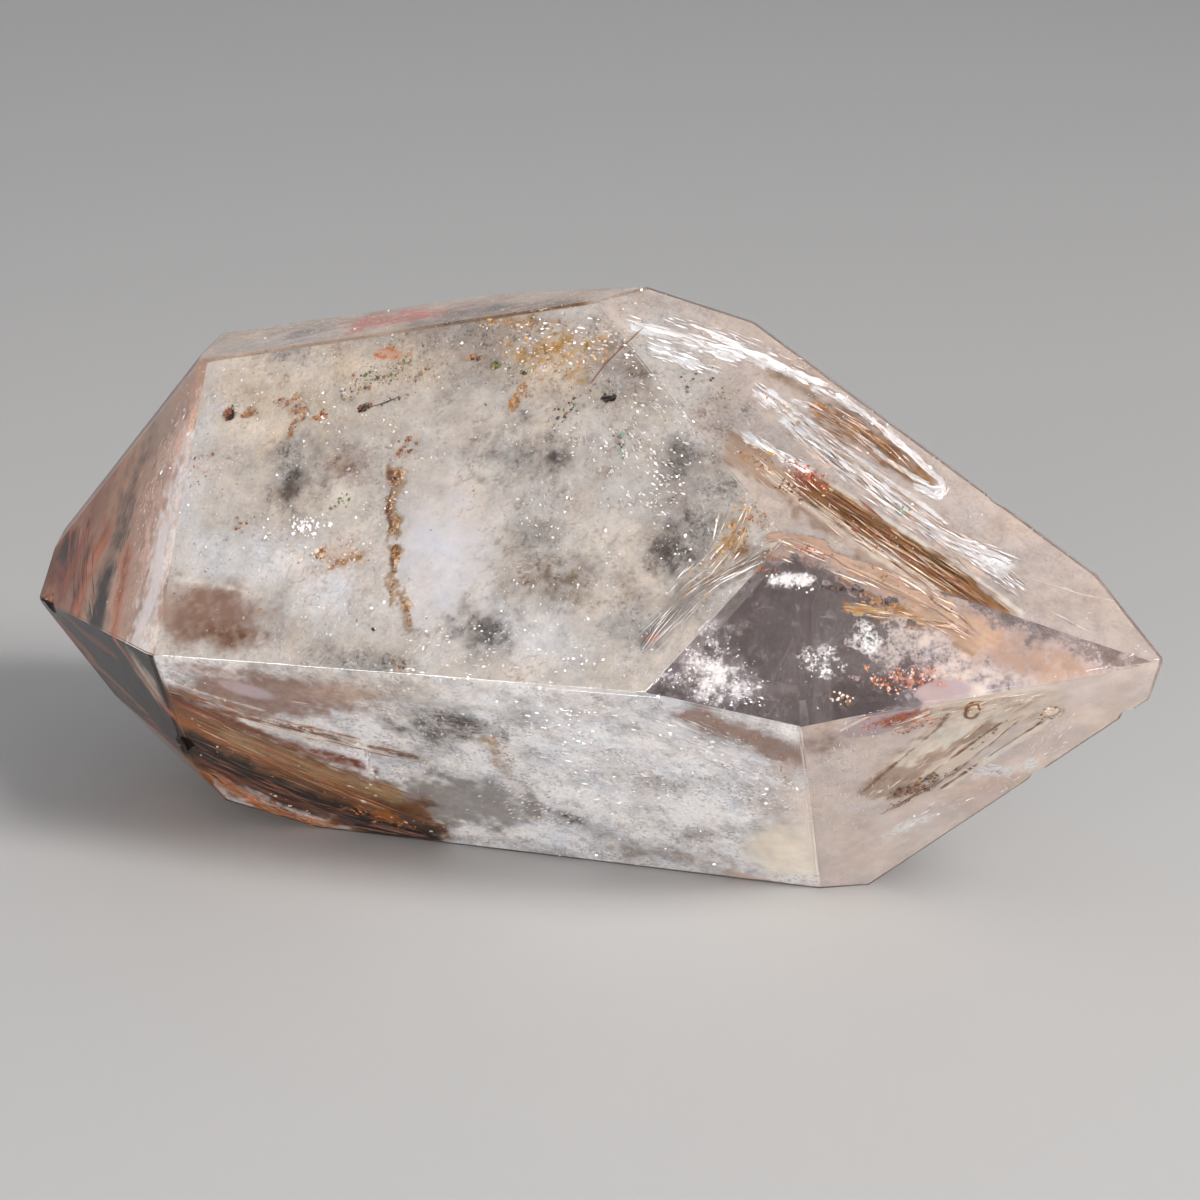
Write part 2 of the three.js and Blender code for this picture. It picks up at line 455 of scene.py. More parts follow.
def sheet(parts, facet, depth, margin, step, base, marks, seed, wave, **paint):
    """A ruled sheet: for each along between the facet's two ends, up runs from its lowest to its highest
    limit. Waves of height wave move it along the facet's direction, and fade to nothing at its rim."""
    search = np.linspace(-SEARCH_HALF, SEARCH_HALF, SEARCH_COUNT)
    low, high = sheet_limits(facet, search, depth, margin)
    inside = search[high - low > LEAST_HEIGHT]
    if len(inside) < 10:
        return
    ends = inside[0], inside[-1]
    columns = max(3, int((ends[1] - ends[0]) / step))
    line = np.linspace(ends[0], ends[1], columns)
    low, high = sheet_limits(facet, line, depth, margin)
    rows = max(3, int((high - low).max() / step))
    share = np.linspace(0, 1, rows)[:, None]
    along = np.broadcast_to(line, (rows, columns))
    up = low + (high - low) * share
    rim = np.minimum(share * (high - low), (1 - share) * (high - low))
    rim = np.minimum(rim, np.minimum(along - ends[0], ends[1] - along))
    sink = depth + wave * ripple(along, up, WAVE_SIZE, seed + 5) * eased(rim / WAVE_RIM)
    tint, cover, grain = painted(base, marks, along, up, seed, **paint)
    parts.grid(facet.place(along, up, sink), tint, cover, grain)


# Small things inside the crystal, placed by facet, along, up and depth


def inside_crystal(points, margin):
    """Whether each point lies at least margin under every facet."""
    outs = np.array([facet.out for facet in FACETS.values()])
    reaches = np.array([facet.reach for facet in FACETS.values()])
    return (points @ outs.T < reaches - margin).all(-1)


def kept_inside(points, margin):
    """Points that would come nearer than margin to a facet's polish, pushed back from it along its
    direction."""
    for facet in FACETS.values():
        past = np.maximum(points @ facet.out - facet.reach + margin, 0)
        points = points - past[..., None] * facet.out
    return points


# Depths between which small things lie just under the polish
UNDER_POLISH = (0.08, 0.22)


def picked(draw, tints, count):
    """One of the named tints for each of count things."""
    return np.array([linear(name) for name in tints])[draw.integers(0, len(tints), count)]


def drawn_between(draw, limits, count, power=1.0):
    """Sizes from the least to the most of two limits, spread evenly by ratio, and more small ones by
    power."""
    return limits[0] * (limits[1] / limits[0]) ** draw.uniform(0, 1, count) ** power


def flakes(parts, facet, count, box, depths, sizes, tints, seed, keep=None, tilt=1.0):
    """Four-cornered flakes of random size, turn and tilt: centre + size * (cos, sin) of each corner's
    angle. box gives along and up limits, and keep, a function of along and up, the share of flakes that
    stay. With a tilt below 1 they lie flatter along the facet."""
    draw = np.random.default_rng(seed)
    along = draw.uniform(box[0], box[1], count)
    up = draw.uniform(box[2], box[3], count)
    depth = draw.uniform(depths[0], depths[1], count)
    low, high = sheet_limits(facet, along, depths[1], depths[1])
    stays = (up > low) & (up < high)
    if keep is not None:
        stays &= draw.uniform(0, 1, count) < keep(along, up)
    along, up, depth = along[stays], up[stays], depth[stays]
    count = len(along)
    size = drawn_between(draw, sizes, count, 1.6)
    normal = draw.normal(size=(count, 3)) * tilt + facet.out * (1 - tilt) * 3
    first = np.cross(normal, draw.normal(size=(count, 3)))
    first /= np.linalg.norm(first, axis=1)[:, None]
    second = np.cross(normal, first)
    second /= np.linalg.norm(second, axis=1)[:, None]
    turns = np.radians(np.array([0, 90, 180, 270]))[None, :] + draw.uniform(-0.5, 0.5, (count, 4))
    spread = size[:, None] * draw.uniform(0.5, 1.2, (count, 4))
    across = (spread * np.cos(turns))[..., None] * first[:, None, :]
    rise = (spread * np.sin(turns))[..., None] * second[:, None, :]
    centre = facet.place(along, up, depth)
    parts.loose(centre[:, None, :] + across + rise, picked(draw, tints, count))


# A crust's flakes are larger than its listed least and largest sizes by this much, and lie fairly flat
CRUST_GROWTH = (1.3, 1.4)
CRUST_TILT = 0.4


def crust(parts, facet, at, size, count, sizes, tints, spin, seed):
    """A crust of small mineral flakes: as many as fit in a ragged ellipse round at, turned by spin
    degrees."""
    box = (at[0] - max(size), at[0] + max(size), at[1] - max(size), at[1] + max(size))
    mark = blot(at, size, tints[0], 1, spin=spin)
    share = size[0] * size[1] / max(size) ** 2

    def inside(along, up):
        reach = blot_reach(mark, along, up)[0] + 0.55 * ripple(along, up, 0.6 * min(size) + 0.2, seed, 3)
        return eased((1.05 - reach) * 2.5)

    sizes = (sizes[0] * CRUST_GROWTH[0], sizes[1] * CRUST_GROWTH[1])
    flakes(parts, facet, int(count / share), box, UNDER_POLISH, sizes, tints, seed, inside, CRUST_TILT)


# How often a sliver's route is sampled, and how far slivers turn away from it, in degrees
ROUTE_PLACES = 200
SLIVER_TURN = 4.0


def slivers(parts, facet, route, spread, count, lengths, widths, tints, seed):
    """Long thin diamonds along a route of (along, up): centre + and - half length * ahead, and half width
    * side. They are set off across the route by spread and turned by a few degrees; those that would
    reach the polish are left out."""
    draw = np.random.default_rng(seed)
    path = smooth_route(route, ROUTE_PLACES)
    slope = np.gradient(path, axis=0)
    pick = draw.integers(0, ROUTE_PLACES, count)
    heading = np.arctan2(slope[pick, 1], slope[pick, 0]) + np.radians(draw.normal(0, SLIVER_TURN, count))
    ahead = np.stack([np.cos(heading), np.sin(heading)], 1)
    side = np.stack([-np.sin(heading), np.cos(heading)], 1)
    off = np.clip(draw.normal(0, spread, count), -2 * spread, 2 * spread)
    centre = path[pick] + off[:, None] * side
    half = 0.5 * drawn_between(draw, lengths, count)
    wide = 0.5 * drawn_between(draw, widths, count)
    depth = draw.uniform(UNDER_POLISH[0], UNDER_POLISH[1], count)
    skew = draw.uniform(-0.4, 0.4, count) * half
    lean = draw.uniform(-0.7, 0.7, count) * wide
    corners = []
    for forward, sideways in ((1, 0), (0, 1), (-1, 0), (0, -1)):
        reach = forward * half + abs(sideways) * skew
        spot = centre + reach[:, None] * ahead + (sideways * wide)[:, None] * side
        corners.append(facet.place(spot[:, 0], spot[:, 1], depth + sideways * lean))
    corners = np.stack(corners, 1)
    stays = inside_crystal(corners, UNDER_POLISH[0]).all(1)
    parts.loose(corners[stays], picked(draw, tints, count)[stays])


def smooth_route(route, steps):
    """A route of a few points as a curve through them: each stretch is a cubic whose slopes come from its
    neighbours, sampled evenly."""
    route = np.array(route, float)
    padded = np.vstack([2 * route[0] - route[1], route, 2 * route[-1] - route[-2]])
    share = np.linspace(0, len(route) - 1, steps)
    stretch = np.minimum(share.astype(int), len(route) - 2)
    t = (share - stretch)[:, None]
    before, start, end, after = (padded[stretch + k] for k in range(4))
    return start + 0.5 * t * (end - before + t * (2 * before - 5 * start + 4 * end - after
                                                  + t * (3 * (start - end) + after - before)))


def side_of(path, out):
    """The direction across a path at each of its points, level with the plane whose direction is out."""
    ahead = np.gradient(path, axis=0)
    side = np.cross(out, ahead)
    return side / np.maximum(np.linalg.norm(side, axis=1), 1e-9)[:, None]


# How finely ribbons, threads and grains are gridded: along and across, or round
RIBBON_GRID = (90, 13)
THREAD_GRID = (40, 9)
GRAIN_GRID = (9, 13)
# Ribbons stay this far under the polish, in millimetres
RIBBON_MARGIN = 0.12


def ribbon(parts, facet, route, width, colour, seed, tilt, ragged, cover=0.9, grain=0.2, torn=0.5, curl=0):
    """A torn ribbon along a route of (along, up, depth): path(s) + t * width * taper(s) * (cos tilt *
    side - sin tilt * out), t from -1 to 1, curled by curl * (1 - t * t), with its width and cover broken
    by unevenness."""
    path = smooth_route(route, RIBBON_GRID[0])
    path = facet.place(path[:, 0], path[:, 1], path[:, 2])
    side = side_of(path, facet.out)
    s = np.linspace(0, 1, RIBBON_GRID[0])[:, None]
    t = np.linspace(-1, 1, RIBBON_GRID[1])[None, :]
    length = np.linalg.norm(np.diff(path, axis=0), axis=1).sum()
    taper = np.sin(np.pi * np.clip(s * 0.96 + 0.02, 0, 1)) ** 0.35
    uneven = 1 + ragged * ripple(s * length, t * 0.6 + seed, 1.6, seed, 4)
    lean = math.radians(tilt)
    reach = t * width * taper * uneven
    turned = side * math.cos(lean) - facet.out * math.sin(lean)
    points = path[:, None, :] + reach[..., None] * turned[:, None, :]
    points = kept_inside(points + (curl * (1 - t * t) * taper)[..., None] * facet.out, RIBBON_MARGIN)
    broken = 1 + torn * ripple(s * length, t * width * 2, 0.9, seed + 9, 4)
    fade = eased((1 - np.abs(t)) * 3.0) * eased(np.minimum(s, 1 - s) * 12)
    parts.grid(points, linear(colour), np.clip(cover * broken * fade, 0, 1), grain)


def thread(parts, facet, route, radii, colour):
    """A round thread along a route of (along, up, depth): path(s) + radius(s) * (cos a * side + sin a *
    out). Its radius runs through radii, and its ends shrink to points."""
    path = smooth_route(route, THREAD_GRID[0])
    path = facet.place(path[:, 0], path[:, 1], path[:, 2])
    side = side_of(path, facet.out)
    s = np.linspace(0, 1, THREAD_GRID[0])
    radius = np.interp(s, np.linspace(0, 1, len(radii)), radii)
    radius = radius * np.sqrt(np.clip(np.minimum(s, 1 - s) * 12, 0, 1))
    angle = np.linspace(0, 2 * np.pi, THREAD_GRID[1])
    ring = np.cos(angle)[None, :, None] * side[:, None, :] + np.sin(angle)[None, :, None] * facet.out
    parts.grid(path[:, None, :] + radius[:, None, None] * ring, linear(colour), 1.0, 0.0)


def lump(parts, facet, at, size, colour, spin, seed):
    """A lumpy grain of mineral: an ellipsoid of half sizes size, its radius pushed in and out by
    unevenness."""
    polar = np.linspace(0, np.pi, GRAIN_GRID[0])[:, None]
    turn = np.linspace(0, 2 * np.pi, GRAIN_GRID[1])[None, :]
    uneven = 1 + 0.3 * ripple(polar * 2, np.cos(turn) * 2 + seed, 1.0, seed, 3) * np.sin(polar)
    spin = math.radians(spin)
    x = uneven * np.sin(polar) * np.cos(turn) * size[0]
    y = uneven * np.sin(polar) * np.sin(turn) * size[1]
    z = uneven * np.cos(polar) * size[2] * np.ones_like(turn)
    along = at[0] + x * math.cos(spin) - y * math.sin(spin)
    up = at[1] + x * math.sin(spin) + y * math.cos(spin)
    parts.grid(facet.place(along, up, at[2] - z), linear(colour), 1.0, 0.0)


# Materials

# Scales of the frost's noise on the quartz's own coordinates in metres: fine crumbs and coarser mottling
FINE_SCALE = 4200.0
MOTTLE_SCALE = 900.0
# Noise values that count as no grain and full grain
GRAIN_LEVELS = (0.32, 0.68)
# How much mottling there is in the blend
MOTTLE_SHARE = 0.42
# How sharply a veil's crumbs stand out from the clear quartz between them
VEIL_CONTRAST = 2.0
# Cover at which a veil's crumbs reach their full strength
FULL_CRUMBS = 0.25
# Tint of the smallest and the largest crumbs
CRUMB_SHADES = (0.76, 1.12)
# Scale of the unevenness in solid grains
SPECK_SCALE = 5000.0
QUARTZ_IOR = 1.544
# Where the quartz begins to be smoky, and where it is fully so, in metres along the crystal
SMOKY_FROM = -0.029
SMOKY_FULL = -0.044


def feed(tree, socket, value):
    """Sets a socket to a number, or links it to another socket."""
    if isinstance(value, (int, float)):
        socket.default_value = value
    else:
        tree.links.new(value, socket)


def math_node(tree, operation, first, second, clamp=False):
    node = tree.nodes.new("ShaderNodeMath")
    node.operation = operation
    node.use_clamp = clamp
    feed(tree, node.inputs[0], first)
    feed(tree, node.inputs[1], second)
    return node.outputs[0]


def mix_value(tree, share, first, second):
    node = tree.nodes.new("ShaderNodeMix")
    feed(tree, node.inputs["Factor"], share)
    feed(tree, node.inputs["A"], first)
    feed(tree, node.inputs["B"], second)
    return node.outputs["Result"]


def mix_shader(tree, share, first, second):
    node = tree.nodes.new("ShaderNodeMixShader")
    for socket, value in zip(node.inputs, (share, first, second)):
        feed(tree, socket, value)
    return node.outputs[0]


def scaled_colour(tree, colour, factor):
    node = tree.nodes.new("ShaderNodeVectorMath")
    node.operation = "SCALE"
    tree.links.new(colour, node.inputs[0])
    tree.links.new(factor, node.inputs["Scale"])
    return node.outputs[0]


def read_attribute(tree, name, output):
    node = tree.nodes.new("ShaderNodeAttribute")
    node.attribute_name = name
    return node.outputs[output]


def new_material(name):
    material = bpy.data.materials.new(name)
    material.use_nodes = True
    return material, material.node_tree, material.node_tree.nodes["Principled BSDF"]


def frost_grain():
    """Grain inside the quartz: fine crumbs, and their blend with coarser mottling, from 0 to 1."""
    group = bpy.data.node_groups.new("frost grain", "ShaderNodeTree")
    for name, scale in (("Fine", FINE_SCALE), ("Mottle", MOTTLE_SCALE)):
        socket = group.interface.new_socket(name, in_out="INPUT", socket_type="NodeSocketFloat")
        socket.default_value = scale
    for name in ("Crumbs", "Blend"):
        group.interface.new_socket(name, in_out="OUTPUT", socket_type="NodeSocketFloat")
    nodes, links = group.nodes, group.links
    entry = nodes.new("NodeGroupInput")
    leave = nodes.new("NodeGroupOutput")
    place = nodes.new("ShaderNodeTexCoord")
    levels = []
    for name, detail in (("Fine", 2.0), ("Mottle", 3.0)):
        noise = nodes.new("ShaderNodeTexNoise")
        noise.inputs["Detail"].default_value = detail
        noise.inputs["Roughness"].default_value = 0.6
        links.new(place.outputs["Object"], noise.inputs["Vector"])
        links.new(entry.outputs[name], noise.inputs["Scale"])
        spread = nodes.new("ShaderNodeMapRange")
        spread.inputs["From Min"].default_value = GRAIN_LEVELS[0]
        spread.inputs["From Max"].default_value = GRAIN_LEVELS[1]
        links.new(noise.outputs["Fac"], spread.inputs["Value"])
        levels.append(spread.outputs["Result"])
    links.new(levels[0], leave.inputs["Crumbs"])
    links.new(mix_value(group, MOTTLE_SHARE, levels[0], levels[1]), leave.inputs["Blend"])
    return group


def mineral(name, roughness, uneven, metallic=0.0):
    """Solid grains inside the crystal: their tint attribute, made uneven by fine noise."""
    material, tree, shader = new_material(name)
    place = tree.nodes.new("ShaderNodeTexCoord")
    noise = tree.nodes.new("ShaderNodeTexNoise")
    noise.inputs["Scale"].default_value = SPECK_SCALE
    tree.links.new(place.outputs["Object"], noise.inputs["Vector"])
    shade = mix_value(tree, noise.outputs["Fac"], 1 - uneven, 1 + uneven)
    colour = scaled_colour(tree, read_attribute(tree, "tint", "Color"), shade)
    tree.links.new(colour, shader.inputs["Base Color"])
    shader.inputs["Roughness"].default_value = roughness
    shader.inputs["Metallic"].default_value = metallic
    return material


def veil(name, grain_group, fine, mottle, through, roughness=0.7, shine=0.1):
    """A milky sheet: its cover attribute sets how much of it is there, broken into crumbs where its grain
    attribute is high, and through is the share of light that it lets glow through it."""
    material, tree, shader = new_material(name)
    grains = tree.nodes.new("ShaderNodeGroup")
    grains.node_tree = grain_group
    grains.inputs["Fine"].default_value = fine
    grains.inputs["Mottle"].default_value = mottle
    cover = read_attribute(tree, "cover", "Fac")
    grain = read_attribute(tree, "grain", "Fac")
    gap = math_node(tree, "SUBTRACT", 1.0, cover)
    above = math_node(tree, "SUBTRACT", grains.outputs["Blend"], gap)
    sharp = math_node(tree, "MULTIPLY", above, VEIL_CONTRAST)
    crumbs = math_node(tree, "ADD", sharp, 0.5, clamp=True)
    strength = math_node(tree, "MINIMUM", math_node(tree, "MULTIPLY", cover, 1 / FULL_CRUMBS), 1.0)
    there = mix_value(tree, grain, cover, math_node(tree, "MULTIPLY", crumbs, strength))
    lighter = math_node(tree, "MULTIPLY", grains.outputs["Crumbs"], CRUMB_SHADES[1] - CRUMB_SHADES[0])
    shade = mix_value(tree, grain, 1.0, math_node(tree, "ADD", lighter, CRUMB_SHADES[0]))
    colour = scaled_colour(tree, read_attribute(tree, "tint", "Color"), shade)
    tree.links.new(colour, shader.inputs["Base Color"])
    shader.inputs["Roughness"].default_value = roughness
    shader.inputs["Specular IOR Level"].default_value = shine
    glow = tree.nodes.new("ShaderNodeBsdfTranslucent")
    tree.links.new(colour, glow.inputs["Color"])
    clear = tree.nodes.new("ShaderNodeBsdfTransparent")
    body = mix_shader(tree, through, shader.outputs[0], glow.outputs[0])
    surface = mix_shader(tree, there, clear.outputs[0], body)
    tree.links.new(surface, tree.nodes["Material Output"].inputs["Surface"])
    return material


def clear_quartz():
    """Polished quartz: clear, pale lilac-pink in its depth, and copper brown towards its left point. Light
    that reaches the sheets inside it passes it as a pale tint."""
    material, tree, shader = new_material("smoky_amethyst")
    shader.inputs["Roughness"].default_value = 0.015
    shader.inputs["IOR"].default_value = QUARTZ_IOR
    shader.inputs["Transmission Weight"].default_value = 1.0
    place = tree.nodes.new("ShaderNodeTexCoord")
    apart = tree.nodes.new("ShaderNodeSeparateXYZ")
    tree.links.new(place.outputs["Object"], apart.inputs[0])
    smoky = tree.nodes.new("ShaderNodeMapRange")
    smoky.interpolation_type = "SMOOTHSTEP"
    smoky.inputs["From Min"].default_value = SMOKY_FROM
    smoky.inputs["From Max"].default_value = SMOKY_FULL
    tree.links.new(apart.outputs["X"], smoky.inputs["Value"])
    tint = tree.nodes.new("ShaderNodeMix")
    tint.data_type = "RGBA"
    tint.inputs["A"].default_value = (0.98, 0.965, 0.955, 1)
    tint.inputs["B"].default_value = (0.6, 0.34, 0.22, 1)
    tree.links.new(smoky.outputs["Result"], tint.inputs["Factor"])
    tree.links.new(tint.outputs["Result"], shader.inputs["Base Color"])
    output = tree.nodes["Material Output"]
    absorb = tree.nodes.new("ShaderNodeVolumeAbsorption")
    absorb.inputs["Color"].default_value = (0.8, 0.71, 0.69, 1)
    absorb.inputs["Density"].default_value = 30.0
    tree.links.new(absorb.outputs["Volume"], output.inputs["Volume"])
    path = tree.nodes.new("ShaderNodeLightPath")
    clear = tree.nodes.new("ShaderNodeBsdfTransparent")
    clear.inputs["Color"].default_value = (0.93, 0.9, 0.9, 1)
    surface = mix_shader(tree, path.outputs["Is Shadow Ray"], shader.outputs["BSDF"], clear.outputs["BSDF"])
    tree.links.new(surface, output.inputs["Surface"])
    return material


# The polished outside


def crystal_skin(material):
    """The crystal's outer surface: its solid's own faces, joined, with flat facets and smooth edges."""
    mesh = bpy.data.meshes.new("crystal_skin")
    shell = bmesh.new()
    shell.from_mesh(CAD.data)
    bmesh.ops.remove_doubles(shell, verts=shell.verts, dist=1e-7)
    bmesh.ops.dissolve_limit(shell, angle_limit=math.radians(0.05), verts=shell.verts, edges=shell.edges)
    shell.to_mesh(mesh)
    shell.free()
    mesh.shade_smooth()
    mesh.set_sharp_from_angle(angle=math.radians(24))
    mesh.materials.append(material)
    skin = crystal_piece("crystal_skin", mesh)
    weighted = skin.modifiers.new("weighted normals", "WEIGHTED_NORMAL")
    weighted.keep_sharp = True
    weighted.weight = 90


# What the sheet under each facet shows


# Each sheet's colour, cover and grain before any mark is laid on it
CLOUD_BASES = {
    "front_upper": ("warm_milk", 0.95, 0.4),
    "front_lower": ("milk", 0.8, 0.5),
    "crown": ("cream", 0.9, 0.6),
    "right_window": ("pale_lilac", 0.15, 0.5),
    "right_upper": ("pink_haze", 0.72, 0.15),
    "right_lower": ("pink_haze", 0.85, 0.1),
    "left_upper": ("copper_haze", 0.85, 0.05),
    "left_lower": ("black_brown", 0.97, 0.0),
    "left_heel": ("golden", 0.8, 0.0),
    "left_under": ("deep_copper", 0.7, 0.0),
    "left_sole": ("golden", 0.7, 0.0),
    "left_blunt": ("deep_copper", 0.7, 0.0),
    "left_back_upper": ("copper_haze", 0.5, 0.1),
    "left_back_lower": ("smoky_pink", 0.6, 0.2),
    "back_upper": ("warm_milk", 0.85, 0.5),
    "back_lower": ("milk", 0.75, 0.5),
    "rest_face": ("grey_veil", 0.6, 0.4),
    "right_back_crown": ("warm_milk", 0.7, 0.5),
    "right_back_upper": ("pink_haze", 0.6, 0.4),
    "right_back_lower": ("pink_haze", 0.5, 0.2),
    "right_back_tip": ("pink_haze", 0.35, 0.1),
    "right_blunt": ("pink_haze", 0.35, 0.1),
}

